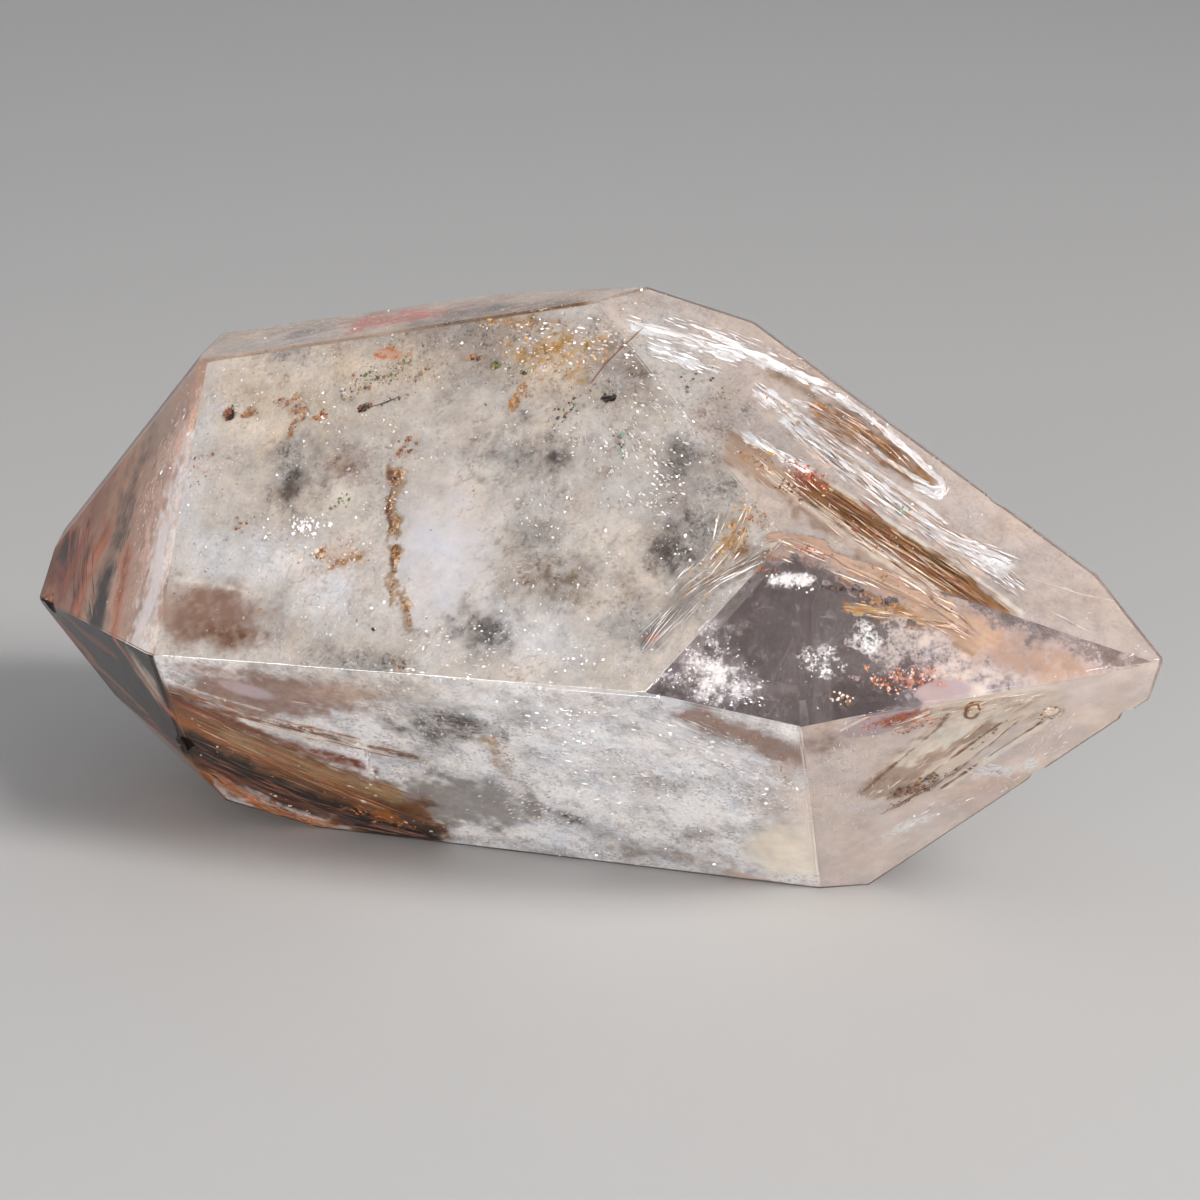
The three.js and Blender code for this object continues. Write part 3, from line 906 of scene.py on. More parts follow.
# The marks laid on each sheet, each over those before it
CLOUD_MARKS = {
    "front_upper": [
        blot((-20, 4), (9, 9), "cream", 0.95, 0.5),
        blot((-25.5, -3), (3.4, 9), "milk", 0.95, 0.5),
        blot((-17, -7.5), (9, 3.5), "milk", 0.97, 0.5),
        blot((-11.5, -9.5), (6, 4), "milk", 0.97, 0.4),
        blot((-4, 9.5), (22, 4.6), "dim_haze", 0.85, 0.8),
        blot((-20, 8.5), (4, 2.2), "grey_veil", 0.8, 0.8, soft=1),
        blot((-6.5, 11.2), (4, 1.6), "grey_veil", 0.8, 0.8, soft=1),
        blot((4.6, 7.6), (3.4, 2.2), "grey_veil", 0.8, 0.8, soft=1),
        blot((8.4, 9.6), (5, 2.6), "dun", 0.8, 0.8, soft=1.4, ragged=0.6),
        blot((-12, 7.5), (7, 3.2), "cream", 0.9, 0.7),
        blot((0, 8.6), (6, 3.6), "cream", 0.9, 0.7),
        blot((3, -10.5), (9, 3.5), "milk", 0.97, 0.4),
        blot((13.5, 0), (5.4, 12), "grey_veil", 0.72, 0.7, soft=1.1),
        blot((10.4, -8.4), (4, 3), "grey_veil", 0.8, 0.7, soft=1.3),
        blot((11.6, -3.4), (2.6, 3.6), "smoke", 0.6, 0.7, soft=1.1),
        blot((10.8, 3.2), (2.0, 2.4), "smoke", 0.6, 0.8, soft=1.1),
        blot((12.2, 7.5), (4, 5), "milk", 0.8, 0.8),
        blot((-4.4, -5.8), (5.6, 7.8), "lilac_milk", 0.99, 0.08, spin=12, ragged=0.2, worn=0.1),
        stroke([(-11.2, 1.0), (-10.6, -2.6), (-9.9, -4.6), (-9.2, -6.4), (-9.0, -10.6)], 1.25, "warm_milk",
               0.95, 0.6, soft=0.12, ragged=0.2, bits=0.6),
        stroke([(-9.4, -0.2), (-8.7, -1.0), (-9.1, -2.7), (-8.4, -4.2), (-7.6, -6.0), (-7.6, -7.9),
                (-7.2, -9.2)], 0.4, "tan", 0.97, 0.1, soft=0.5, ragged=1.6, bits=0.8, worn=0.2,
               streaks=0.2),
        stroke([(-9.8, -0.4), (-9.3, -1.2), (-9.4, -2.7), (-8.7, -4.3), (-7.9, -6.0), (-7.8, -7.6)], 0.2,
               "brown", 0.9, 0.1, soft=0.6, ragged=1.4, bits=0.8, worn=0.2),
        stroke([(-6.3, -9.4), (-6.1, -10.2), (-5.4, -11.6)], 0.32, "tan", 0.97, 0.1, soft=0.5, ragged=0.8,
               bits=0.6),
        blot((-16.3, -1.6), (4.0, 4.0), "smoke", 0.75, 0.7, soft=1.5, ragged=0.5),
        blot((-16.7, -2.2), (1.7, 2.0), "dark_smoke", 0.7, 0.8, soft=1.4, ragged=0.5),
        blot((-13.2, -0.4), (3.4, 2.2), "smoky_pink", 0.75, 0.8, soft=1.5, ragged=0.5),
        blot((-17.8, 0.4), (1.6, 1.1), "grey_veil", 0.8, 0.8, soft=1),
        blot((-0.2, 1.8), (5.6, 3.4), "smoke", 0.72, 0.8, soft=1.6, ragged=0.5),
        blot((1.6, 2.0), (2.4, 1.6), "dark_smoke", 0.65, 0.8, soft=1.6, ragged=0.5),
        blot((0.1, -10.7), (4.2, 2.8), "smoke", 0.7, 0.8, soft=1.5, ragged=0.5),
        blot((0.4, -10.5), (1.8, 1.4), "dark_smoke", 0.6, 0.9, soft=1.5, ragged=0.5),
        blot((-8, -14.3), (6, 1.6), "grey_veil", 0.8, 0.8, soft=1),
        blot((4.8, -6.4), (6.6, 3.2), "dun", 0.85, 0.7, soft=1.4, ragged=0.5),
        blot((2.4, -3.6), (3.2, 1.6), "grey_veil", 0.85, 0.8, soft=1.1),
        blot((6.4, -4.1), (3.0, 1.2), "pale_cream", 0.9, 0.6, soft=1.1),
        blot((-11.5, -7.2), (3.2, 1.5), "pink_cream", 0.93, 0.4, spin=14, soft=1, ragged=0.6),
        blot((-11.2, -7.0), (1.5, 0.5), "amber", 0.8, 0.4, spin=30, soft=1, ragged=0.7, worn=0.6),
        blot((-0.4, 9.4), (3.6, 1.8), "ochre", 0.8, 0.7, soft=1, ragged=0.7, worn=0.7),
        blot((-3.1, 11.6), (4.8, 0.8), "tan", 0.8, 0.5, ragged=0.5, worn=0.6),
        blot((2.2, 10.6), (2.0, 1.1), "ochre", 0.75, 0.6, ragged=0.7, worn=0.6),
        blot((-12.2, 8.3), (1.5, 0.45), "orange", 0.9, 0.2, spin=8, ragged=0.6, worn=0.6, soft=0.6),
        # Painted reflection: this smooth smoky-pink patch with a straight upper edge stands in for a
        # facet's reflection inside the quartz
        blot((-20.6, -12.4), (7, 3.0), "smoky_pink", 0.93, 0.05, soft=0.8, worn=0.15),
        blot((-18.6, -13.6), (4, 1.4), "brown", 0.8, 0.2, soft=1, worn=0.3),
        blot((-24.6, -12.2), (2.4, 1.8), "copper_haze", 0.9, 0.0, soft=0.8, worn=0.1),
        stroke([(-26, -10.2), (-21, -10.0), (-17, -10.4)], 0.3, "pale_cream", 0.9, 0.5, soft=1,
               ragged=0.7),
        blot((15.6, -1.6), (1.2, 2.4), "ochre", 0.7, 0.3, spin=-10, soft=1, ragged=0.7, worn=0.6),
        blot((16.6, -4.0), (0.9, 1.5), "amber", 0.7, 0.2, soft=1, ragged=0.7, worn=0.5),
        stroke([(18.2, -3.3), (13.6, -6.8), (11.6, -10.2)], 1.2, "grey_veil", 0.72, 0.2, soft=1,
               streaks=0.7),
        stroke([(18.4, -3.0), (14.6, -5.6)], 0.5, "tan", 0.7, 0.2, soft=1, streaks=0.5),
        blot((11.8, -10.0), (1.0, 0.4), "orange", 0.8, 0.2, soft=1, ragged=0.7, worn=0.6),
    ],
    "front_lower": [
        blot((6, -1), (15, 12), "milk", 0.86, 0.8, soft=0.8),
        blot((-6, 8.8), (15, 2.6), "warm_milk", 0.93, 0.5),
        blot((4, 8.6), (13, 2.4), "milk", 0.95, 0.5),
        blot((4.6, -2.6), (5.8, 4.4), "frost", 0.98, 0.5, soft=1.1, ragged=0.6),
        blot((7.0, 4.4), (6.6, 3.4), "frost", 0.98, 0.5, spin=-14, soft=1.1, ragged=0.6),
        blot((12, -3.4), (4.4, 3.0), "frost", 0.95, 0.6, soft=1.1, ragged=0.6),
        blot((-1.4, -8.6), (4.4, 2.4), "frost", 0.95, 0.6, soft=1.1, ragged=0.6),
        blot((-4, 0.4), (4, 2.2), "milk", 0.9, 0.7, spin=-20, soft=1.1, ragged=0.6),
        blot((9, -10.6), (7, 1.6), "dim_haze", 0.85, 0.4, soft=1.1, ragged=0.6),
        blot((1.6, -6.4), (2.6, 1.5), "smoke", 0.7, 0.8, spin=-30, soft=1.4, ragged=0.6),
        blot((8.4, 0.6), (3.2, 1.5), "grey_veil", 0.75, 0.7, spin=-20, soft=1.3, ragged=0.6),
        blot((11.2, -6.8), (3.2, 1.5), "grey_veil", 0.75, 0.7, spin=20, soft=1.3, ragged=0.6),
        blot((-13, 8.4), (9, 2.8), "dim_haze", 0.9, 0.6),
        blot((-6.2, -6), (7, 4.2), "grey_veil", 0.7, 0.05, soft=0.4, worn=0.1),
        stroke([(-11, -11.2), (-4.4, -10.6), (-1.4, -9.0)], 0.35, "pale_cream", 0.97, 0.3, soft=0.8,
               ragged=0.7),
        blot((-5.4, 4.0), (5.4, 3.0), "smoke", 0.66, 0.5, soft=1.2, ragged=0.5),
        blot((-4.0, 5.2), (3.4, 1.6), "dark_smoke", 0.6, 0.5, soft=1.3, ragged=0.5),
        blot((-18.6, 6), (9.4, 3.8), "smoky_pink", 0.9, 0.05, soft=0.6, streaks=0.15, worn=0.1),
        blot((-12.4, 7.4), (4.6, 1.8), "copper_haze", 0.9, 0.3),
        blot((-19.2, 6.5), (2.4, 1.1), "dusty_lilac", 0.97, 0.0, spin=-16, soft=0.35, ragged=0.12,
             worn=0.0),
        stroke([(-28, 1.0), (-22.2, -3.6), (-17.6, -7.0), (-12.6, -9.6)], 5.4, "dark_amber", 0.98, 0.0,
               soft=0.4, streaks=0.5, worn=0.05),
        stroke([(-27, 4.0), (-22.2, -0.2), (-17.6, -4.0), (-12, -7.0)], 3.2, "dark_amber", 0.98, 0.0,
               soft=0.6, streaks=0.5, worn=0.1),
        stroke([(-27, 5.2), (-22.4, 2.0), (-17.0, -0.8), (-12, -2.6)], 1.0, "deep_copper", 0.92, 0.0,
               soft=0.8, streaks=0.5),
        stroke([(-26, 1.2), (-22.0, -2.0), (-17.8, -4.6)], 1.1, "golden", 0.95, 0.0, streaks=0.4),
        stroke([(-22.0, -0.6), (-16.4, -4.0), (-11.8, -6.2)], 1.7, "straw", 0.95, 0.0, streaks=0.25),
        stroke([(-24, 3.6), (-14.4, 1.2), (-8.4, -0.2)], 0.35, "brown", 0.9, 0.3, ragged=0.8, streaks=0.5),
        stroke([(-20, 1.6), (-12, 0.2), (-7, -1.2)], 0.3, "cream", 0.9, 0.4, ragged=0.9),
        stroke([(-26.6, -2.0), (-22.5, -5.9), (-17.6, -9.2), (-10.6, -11.8)], 2.5, "black_brown", 1.0, 0.0,
               soft=0.6, streaks=0.5, worn=0.0),
        stroke([(-26, -4.4), (-21, -8.6), (-16, -11.4)], 0.5, "deep_copper", 0.97, 0.0, streaks=0.5),
        stroke([(-26.4, -6.4), (-22.7, -10.4), (-17, -13.2), (-9, -13.4)], 1.3, "golden", 0.97, 0.0,
               streaks=0.6),
        blot((-12.5, -9.8), (2.6, 1.2), "golden", 0.95, 0.1, spin=-24, soft=1, ragged=0.6, streaks=0.4),
        stroke([(-26.3, 7.2), (-23, 5.5), (-18.6, 3.9)], 0.2, "pale_cream", 0.97, 0.1),
        stroke([(-26.3, 6.4), (-23, 4.5), (-17, 2.6), (-12, 1.4)], 0.22, "golden", 0.95, 0.1, ragged=0.6),
        stroke([(-11.8, 0.9), (-12.2, -1.6), (-12.5, -4.1)], 0.35, "frost", 0.97, 0.4, ragged=0.8),
        stroke([(-2.2, 3.2), (-2.1, 0.4), (-1.6, -1.8)], 0.7, "tan", 0.9, 0.4, soft=1, ragged=0.6,
               worn=0.5),
        blot((19.6, -0.6), (3.8, 6.0), "pink_haze", 0.9, 0.3, soft=0.8, ragged=0.5),
        stroke([(13.6, 9.2), (17.0, 7.6), (20.8, 5.4)], 1.7, "smoky_pink", 0.82, 0.05, soft=0.5, worn=0.1),
        blot((20.2, 4.4), (2.4, 1.6), "pink_cream", 0.8, 0.2, soft=1, ragged=0.5),
        stroke([(9.6, 8.4), (13.5, 5.7), (15.9, 3.6), (18.1, 1.6)], 1.1, "frost", 0.99, 0.4, ragged=0.8,
               streaks=0.4),
        stroke([(12.0, 8.8), (15.0, 6.6), (17.8, 4.2)], 0.4, "frost", 0.97, 0.3, soft=0.8, ragged=0.9,
               streaks=0.4),
        blot((17.8, -7.4), (4.8, 3.6), "pale_cream", 0.93, 0.05, spin=45, soft=0.35, ragged=0.12,
             worn=0.1),
        blot((13.5, -12.2), (3, 1.2), "pink_cream", 0.9, 0.1),
        # Painted reflection: this straight tan band along the lower edge stands in for the reflection seen
        # along that edge
        stroke([(4, -12.9), (12, -12.9), (20, -12.8)], 0.7, "dun", 0.85, 0.0, streaks=0.4),
    ],
    "crown": [
        blot((2, -18), (4, 8), "milk", 0.85, 0.6),
        blot((1.4, -6.0), (4, 5.0), "brown", 0.85, 0.5, soft=1.1, ragged=0.5),
        blot((3.4, 2), (3, 6), "dun", 0.9, 0.6, soft=1, ragged=0.5),
        blot((0.2, -11), (3.2, 4.0), "fire", 1.0, 0.1, ragged=0.6, soft=0.5, worn=0.2),
        blot((0.6, -17.6), (2.2, 3.4), "tan", 0.9, 0.4, ragged=0.6, worn=0.4),
        blot((3, -4), (3, 6), "tan", 0.75, 0.5),
        blot((1, -2.5), (1.6, 4), "dark_smoke", 0.6, 0.5, soft=1.1),
        blot((4.4, 4), (2.5, 3), "ochre", 0.8, 0.5, worn=0.6),
        blot((1.5, 6.5), (3, 3), "milk", 0.85, 0.6),
    ],
    "right_window": [
        blot((32, -12), (11, 5), "pink_haze", 0.94, 0.05, soft=0.8),
        blot((25.4, -8.4), (7.4, 3.4), "pink_haze", 0.84, 0.2, soft=1.1),
        stroke([(27.4, -7.4), (32, -9.6), (38, -12.8)], 2.4, "copper_haze", 0.8, 0.05),
        blot((21.2, -8.2), (2.8, 2.0), "grey_veil", 0.75, 0.9, soft=1.2, ragged=0.6),
        blot((20.6, -8.0), (1.7, 1.2), "frost", 0.6, 0.95, soft=1.2, ragged=0.7),
        blot((8.4, -7.4), (3.6, 4.8), "lilac_milk", 0.66, 0.5, soft=1.4, ragged=0.5),
        blot((9.8, -10.4), (4.0, 2.4), "frost", 0.85, 0.5, soft=1.4, ragged=0.5),
        blot((12.0, -11.6), (2.4, 1.1), "frost", 0.97, 0.3, soft=1.3, ragged=0.6),
        blot((17.1, -9.6), (1.8, 1.5), "frost", 0.5, 0.9, soft=1.2, ragged=0.7),
        blot((14.9, -4.2), (1.7, 0.5), "frost", 0.8, 0.8, soft=0.8, ragged=0.6),
        stroke([(19, -6.0), (23, -6.3), (26, -7.0)], 0.4, "ochre", 0.9, 0.3, ragged=0.6, worn=0.5),
        stroke([(13, -1.2), (15.6, -1.3), (18.9, -3.0), (23.6, -5.2), (27.4, -7.6)], 1.4, "tongue", 0.95,
               0.2, soft=0.3, ragged=0.5, streaks=0.3),
        stroke([(14.6, -0.9), (18.9, -2.4), (23.6, -4.6)], 0.4, "cream", 0.95, 0.2, ragged=0.6,
               streaks=0.3),
        stroke([(12.8, -2.8), (15.8, -2.9), (18.9, -4.5), (22.6, -6.2)], 0.22, "brown", 0.9, 0.3,
               ragged=0.9),
        stroke([(17.4, -4.4), (20.4, -5.4), (23.0, -6.2)], 0.3, "black_brown", 0.9, 0.3, ragged=0.9),
        blot((22.8, -10.8), (3.2, 0.9), "rust", 0.62, 0.95, soft=1, ragged=0.7, worn=0.7),
        blot((25.2, -11.4), (2.2, 0.9), "dusty_lilac", 0.9, 0.0, spin=8, soft=0.3, ragged=0.1, worn=0.0),
    ],
    "right_upper": [
        blot((4, 1.5), (6.5, 9), "warm_milk", 0.88, 0.6, soft=0.8),
        blot((7.2, -2.4), (3, 4), "dim_haze", 0.75, 0.7),
        blot((14, 1), (4.5, 3), "pink_cream", 0.8, 0.5, spin=-35),
        blot((16.0, -3.4), (5.0, 1.7), "brown", 0.85, 0.15, spin=-44, soft=0.8, streaks=0.6),
        blot((18.4, -6.6), (4.4, 1.5), "trough_brown", 0.88, 0.1, spin=-50, soft=0.7, streaks=0.6),
        blot((12.4, 0.4), (3.2, 0.9), "tan", 0.8, 0.3, spin=-40, soft=0.8, streaks=0.5),
        stroke([(8.2, -5.4), (11.2, -8.6), (14.4, -12.4), (17.6, -16.2), (20.8, -19.8)], 1.7, "tongue",
               0.95, 0.15, soft=0.4, streaks=0.35, ragged=0.5, worn=0.2),
        stroke([(9.6, -7.4), (13.4, -12.2), (18.6, -18.2)], 0.5, "cream", 0.95, 0.1, streaks=0.3),
        stroke([(12.6, -8.8), (17.3, -13.7), (20.7, -17.3), (23.3, -20.6)], 1.25, "trough_brown", 0.97,
               0.05, soft=0.3, streaks=0.55, worn=0.05),
        stroke([(13.6, -10.0), (17.3, -14.1), (20.7, -17.7), (23.0, -20.6)], 0.8, "brown", 0.97, 0.05,
               streaks=0.5, worn=0.05),
        stroke([(13.6, -8.4), (18.3, -13.2), (21.9, -16.9), (24.3, -19.9), (24.0, -21.8), (22.6, -21.9)],
               0.26, "pale_cream", 0.97, 0.2, soft=0.6),
        stroke([(11.6, -9.4), (15.9, -14.2), (19.6, -18.2), (21.9, -20.9)], 0.2, "pale_cream", 0.97, 0.2,
               soft=0.6),
        stroke([(10.0, -0.4), (15.8, -7.7), (20.2, -13.0), (24.2, -15.6)], 0.4, "frost", 1.0, 0.3,
               ragged=0.9, streaks=0.2, soft=0.4),
        stroke([(10.8, -0.2), (16.4, -7.0), (20.8, -12.2)], 0.16, "frost", 1.0, 0.3, ragged=0.9, soft=0.4),
        stroke([(11.2, -2.9), (16.0, -9.2), (21.4, -15.2)], 0.16, "frost", 0.97, 0.3, ragged=0.9,
               soft=0.4),
        stroke([(12.4, -5.0), (17.2, -10.9), (22.8, -17.0)], 0.3, "pink_cream", 0.95, 0.3, ragged=0.9,
               streaks=0.5, soft=0.4),
        stroke([(14.2, -6.2), (18.6, -11.4)], 0.5, "dim_haze", 0.85, 0.3, ragged=0.7, streaks=0.6,
               soft=0.4),
        stroke([(8.5, -4), (12.2, -7.2)], 0.3, "frost", 1.0, 0.4, ragged=0.9, soft=0.4),
        stroke([(2.4, 6.2), (6.8, 4.2), (9.4, 3.0)], 0.5, "frost", 1.0, 0.5, ragged=0.9, soft=0.4),
        stroke([(3.6, 4.0), (7.4, 1.8)], 0.4, "frost", 0.97, 0.6, ragged=0.9, soft=0.4),
        stroke([(10.1, 2.9), (13.2, 0.7), (16.6, -2.2), (18.7, -5.0), (21.2, -8.8), (20.6, -9.9),
                (19.4, -9.1)], 0.3, "frost", 1.0, 0.3, ragged=0.9, soft=0.4),
        stroke([(12.4, -1.2), (15.4, -3.4), (18.6, -7.6), (20.4, -9.2)], 0.16, "frost", 0.97, 0.3,
               ragged=0.9, soft=0.4),
        blot((12.2, -7.8), (2.0, 1.1), "rust", 0.8, 0.7, spin=-45, soft=1, ragged=0.8, worn=0.6),
        blot((18.2, -11.1), (1.0, 0.4), "teal", 0.8, 0.2, spin=-30, ragged=0.6, soft=0.6),
        blot((22.8, -15.6), (2.6, 1.0), "frost", 0.85, 0.6, spin=-35, soft=1, ragged=0.8),
    ],
    "right_lower": [
        blot((12.6, 6), (4, 10), "pink_haze", 0.88, 0.4),
        blot((11.6, 11.4), (2.8, 3.6), "smoky_pink", 0.7, 0.1, soft=1.3),
        blot((25, 4), (8, 3), "pink_cream", 0.88, 0.1, spin=20, soft=1),
        blot((15.6, 13.8), (3.4, 1.7), "dusty_lilac", 0.92, 0.0, spin=30, soft=0.14, ragged=0.06,
             worn=0.0),
        stroke([(12.8, 12.8), (15.6, 15.6), (18.2, 17.2)], 0.22, "pale_cream", 0.97, 0.1, soft=0.7,
               ragged=0.4),
        stroke([(18.6, 14.4), (21.6, 15.0), (25.6, 15.6)], 1.5, "cream", 0.95, 0.1, soft=0.35,
               streaks=0.25),
        stroke([(17.2, 5.4), (19.4, 9.0), (21.6, 12.6)], 2.2, "tongue", 0.93, 0.15, soft=0.3, ragged=0.45,
               streaks=0.12),
        stroke([(18.2, 8.6), (20.2, 11.6), (22.4, 14.0)], 1.1, "pale_cream", 0.95, 0.1, soft=0.4,
               ragged=0.5),
        stroke([(19.8, 5.8), (22.4, 9.6), (24.8, 13.2)], 1.1, "cream", 0.95, 0.1, soft=0.3, ragged=0.5,
               streaks=0.12),
        stroke([(21.4, 4.8), (24.2, 8.6), (27.0, 12.4)], 0.5, "pale_cream", 0.93, 0.2, soft=0.7,
               ragged=0.6),
        stroke([(15.6, 4.8), (17.6, 8.8), (19.4, 12.4), (19.8, 14.0)], 0.16, "brown", 0.9, 0.1, soft=0.8,
               ragged=0.9),
        stroke([(18.8, 4.6), (21.2, 8.6), (23.6, 12.4)], 0.14, "brown", 0.9, 0.2, ragged=0.9),
        stroke([(21.0, 4.4), (24.0, 8.8), (27.2, 13.2)], 0.13, "brown", 0.9, 0.2, ragged=0.9),
        blot((16.6, 13.8), (2.4, 1.2), "rust", 0.72, 0.95, soft=1, ragged=0.8, worn=0.7),
        blot((19.4, 5.6), (2.2, 0.8), "dark_smoke", 0.95, 0.4, spin=42, ragged=0.7),
        blot((18.2, 4.2), (1.3, 0.5), "brown", 0.95, 0.4, spin=42, ragged=0.7),
        blot((27, 13.5), (1.2, 1.4), "cream", 0.93, 0.4, soft=0.8, ragged=0.6),
        blot((24.8, 6.4), (3.8, 0.8), "frost", 0.85, 0.6, spin=14, soft=1, ragged=0.8),
        blot((20.2, 0.2), (2.6, 0.8), "frost", 0.85, 0.7, spin=40, soft=1, ragged=0.8),
    ],
    "left_upper": [
        blot((-16, -2), (9, 6), "dim_haze", 0.9, 0.1, soft=1),
        blot((-24.5, -10), (8, 5), "smoky_pink", 0.9, 0.05, soft=1, streaks=0.2),
        stroke([(-5, 3), (-6.6, -4), (-5.0, -10), (-2.2, -15), (-1.4, -20)], 4.4, "milk", 0.97, 0.6,
               soft=0.7, ragged=0.6, bits=1.0),
        stroke([(-9.4, 0.6), (-11.4, -4.4), (-9.4, -9.4), (-6.4, -13.6)], 1.6, "pink_cream", 0.92, 0.8,
               ragged=0.9, bits=0.8),
        stroke([(-17.0, -4.0), (-17.4, -7.8), (-16.2, -11.6)], 2.6, "smoke", 0.88, 0.1, soft=1.5,
               ragged=0.6, streaks=0.2),
        blot((-16.4, -10.0), (4.4, 2.6), "dark_smoke", 0.85, 0.1, soft=1.7, ragged=0.6),
        blot((-12.6, -3.8), (2.2, 1.6), "pink_cream", 0.85, 0.8, soft=1.2, ragged=0.9),
        blot((-13.0, -7.6), (1.2, 1.8), "pink_cream", 0.9, 0.8, soft=1, ragged=0.9),
        stroke([(-6.6, -8.4), (-3.8, -12.2), (-3.9, -17)], 1.1, "lilac_milk", 0.99, 0.0, soft=0.3,
               ragged=0.12),
        stroke([(-12.6, -11.6), (-10.2, -15.2), (-8.2, -18.4)], 1.4, "copper", 0.93, 0.05, streaks=0.4),
        blot((-26, -17.4), (6, 4.4), "deep_copper", 0.97, 0.0, worn=0.1, streaks=0.4),
        # Partly the quartz's own copper colour, partly painted highlight: the lighter copper stripes near
        # the point stand in for copper glints
        stroke([(-19.0, -12.4), (-20.2, -15.6), (-19.0, -18.8)], 2.2, "copper", 0.95, 0.0, streaks=0.5),
        stroke([(-15.2, -14.4), (-14.8, -16.4), (-12.2, -18.8)], 2.4, "black_brown", 0.99, 0.0, streaks=0.3,
               worn=0.05),
        stroke([(-21.6, -13.6), (-21.2, -16.0), (-20.0, -19.0)], 0.9, "brown", 0.97, 0.0, streaks=0.4),
        # Partly copper colour, partly painted highlight, like the stripe above
        stroke([(-23.8, -13.6), (-23.6, -18.2)], 0.9, "copper", 0.93, 0.0, streaks=0.5),
        blot((-26.4, -15.8), (2.2, 2.6), "black_brown", 0.97, 0.0, spin=-30, soft=0.8, worn=0.1),
        blot((-14.0, -17.0), (2.4, 2.2), "black_brown", 0.99, 0.0, spin=-20, soft=0.8, worn=0.05),
        blot((-28.6, -18.6), (1.8, 1.2), "brown", 0.95, 0.0, soft=0.8),
        stroke([(-27.4, -14.6), (-25.4, -16.4)], 0.3, "orange", 0.9, 0.0),
    ],
    "left_lower": [
        stroke([(-33, -0.6), (-24, -1.6), (-14, -1.4)], 0.8, "deep_copper", 0.98, 0.0, streaks=0.5),
        # Partly the quartz's own copper colour, partly painted highlight: this lighter copper stripe at the
        # tip stands in for a copper glint
        stroke([(-34, 3.4), (-30.6, 3.4), (-26, 2.2)], 1.1, "copper", 0.97, 0.0, streaks=0.4),
        stroke([(-28, 1.4), (-24, 1.4), (-17, 0.4)], 0.5, "copper", 0.95, 0.0, streaks=0.6),
        stroke([(-31, 6.4), (-24, 5.4), (-17, 6.0)], 0.6, "deep_copper", 0.95, 0.0, streaks=0.6),
        blot((-10, 6.4), (3, 3), "cream", 0.95, 0.1, soft=0.8),
        stroke([(-13.4, 8.4), (-8.4, 3.4), (-6, -0.8)], 0.9, "copper", 0.95, 0.0, streaks=0.5),
    ],
    "back_upper": [
        blot((4, -4), (9, 7), "frost", 0.95, 0.5),
        blot((24, -12), (9, 6), "cream", 0.9, 0.4),
        blot((14, 4), (8, 4), "dim_haze", 0.75, 0.7),
        blot((18, -2), (2.6, 1.6), "dark_smoke", 0.7, 0.8, soft=1.1),
        blot((30, -6), (3, 2), "smoke", 0.7, 0.7, soft=1.1),
        stroke([(6, 8), (12, 2), (20, -6)], 0.5, "tan", 0.85, 0.4, ragged=0.9, streaks=0.5, soft=0.4),
        blot((0, 6), (3, 1.4), "ochre", 0.8, 0.6, ragged=0.7, worn=0.6, soft=0.6),
    ],
    "right_back_upper": [
        stroke([(-30, -13), (-22, -9), (-14, -3), (-6, 0)], 1.6, "frost", 0.95, 0.7, ragged=0.9, soft=1),
        stroke([(-22, -7), (-14, 0), (-4, 4)], 1.1, "frost", 0.95, 0.7, ragged=0.9, soft=1),
        blot((-16, -10), (6, 2), "tan", 0.85, 0.3, spin=30, streaks=0.5, soft=0.6),
        blot((-2, 4), (6, 6), "warm_milk", 0.9, 0.5),
    ],
}

# Painted light and shade: how much lighter or darker each facet's sheet is made as a whole, in red, green
# and blue, to stand in for the light that reaches it; the unequal channels also shift its hue a little
SHEET_TONE_AND_LIGHT = {
    "front_upper": (0.75, 0.78, 0.785),
    "front_lower": (1.04, 1.08, 1.09),
    "right_upper": (0.85, 0.9, 0.92),
    "right_lower": (1.16, 1.22, 1.24),
    "right_window": (1.08, 1.12, 1.12),
    "crown": (1.0, 0.9, 0.82),
    "left_upper": (1.2, 1.16, 1.12),
    "back_upper": (1.35, 1.35, 1.35),
    "back_lower": (1.3, 1.3, 1.3),
    "right_back_crown": (1.3, 1.3, 1.3),
    "right_back_upper": (1.3, 1.3, 1.3),
    "right_back_lower": (1.2, 1.2, 1.2),
    "left_back_upper": (1.3, 1.3, 1.3),
    "left_back_lower": (1.3, 1.3, 1.3),
}
# How strongly each facet's sheet is clouded and crackled
SHEET_LOOKS = {
    "front_upper": (0.16, 0.6),
    "front_lower": (0.34, 0.35),
    "crown": (0.25, 0.7),
    "right_upper": (0.14, 0.3),
    "right_window": (0.15, 0.1),
    "right_lower": (0.16, 0.1),
    "left_upper": (0.2, 0.2),
    "back_upper": (0.2, 0.5),
    "back_lower": (0.3, 0.3),
    "right_back_crown": (0.2, 0.4),
    "right_back_upper": (0.16, 0.3),
}
# The facets whose sheets make up each piece of the clouds
SHEET_GROUPS = {
    "front": ["front_upper"],
    "base": ["front_lower", "rest_face"],
    "right": ["right_window", "right_upper", "right_lower", "crown"],
    "left": ["left_upper", "left_lower", "left_heel", "left_under", "left_sole", "left_blunt",
             "left_back_upper", "left_back_lower"],
    "back": ["back_upper", "back_lower", "right_back_crown", "right_back_upper", "right_back_lower",
             "right_back_tip", "right_blunt"],
}
# Depth of the sheets under the polish, how far their rims stay under the other facets, their waves and the
# size of their grid, in millimetres
CLOUD_DEPTH = 0.3
CLOUD_MARGIN = 0.27
CLOUD_WAVE = 0.05
CLOUD_STEP = {"front": 0.12, "base": 0.16, "right": 0.17, "left": 0.18, "back": 0.3}
FOG_DEPTH = 4.5
FOG_WAVE = 1.0
FOG_STEP = 0.5
CLEAR_FACETS = ("right_window", "right_lower", "right_back_lower", "right_back_tip")


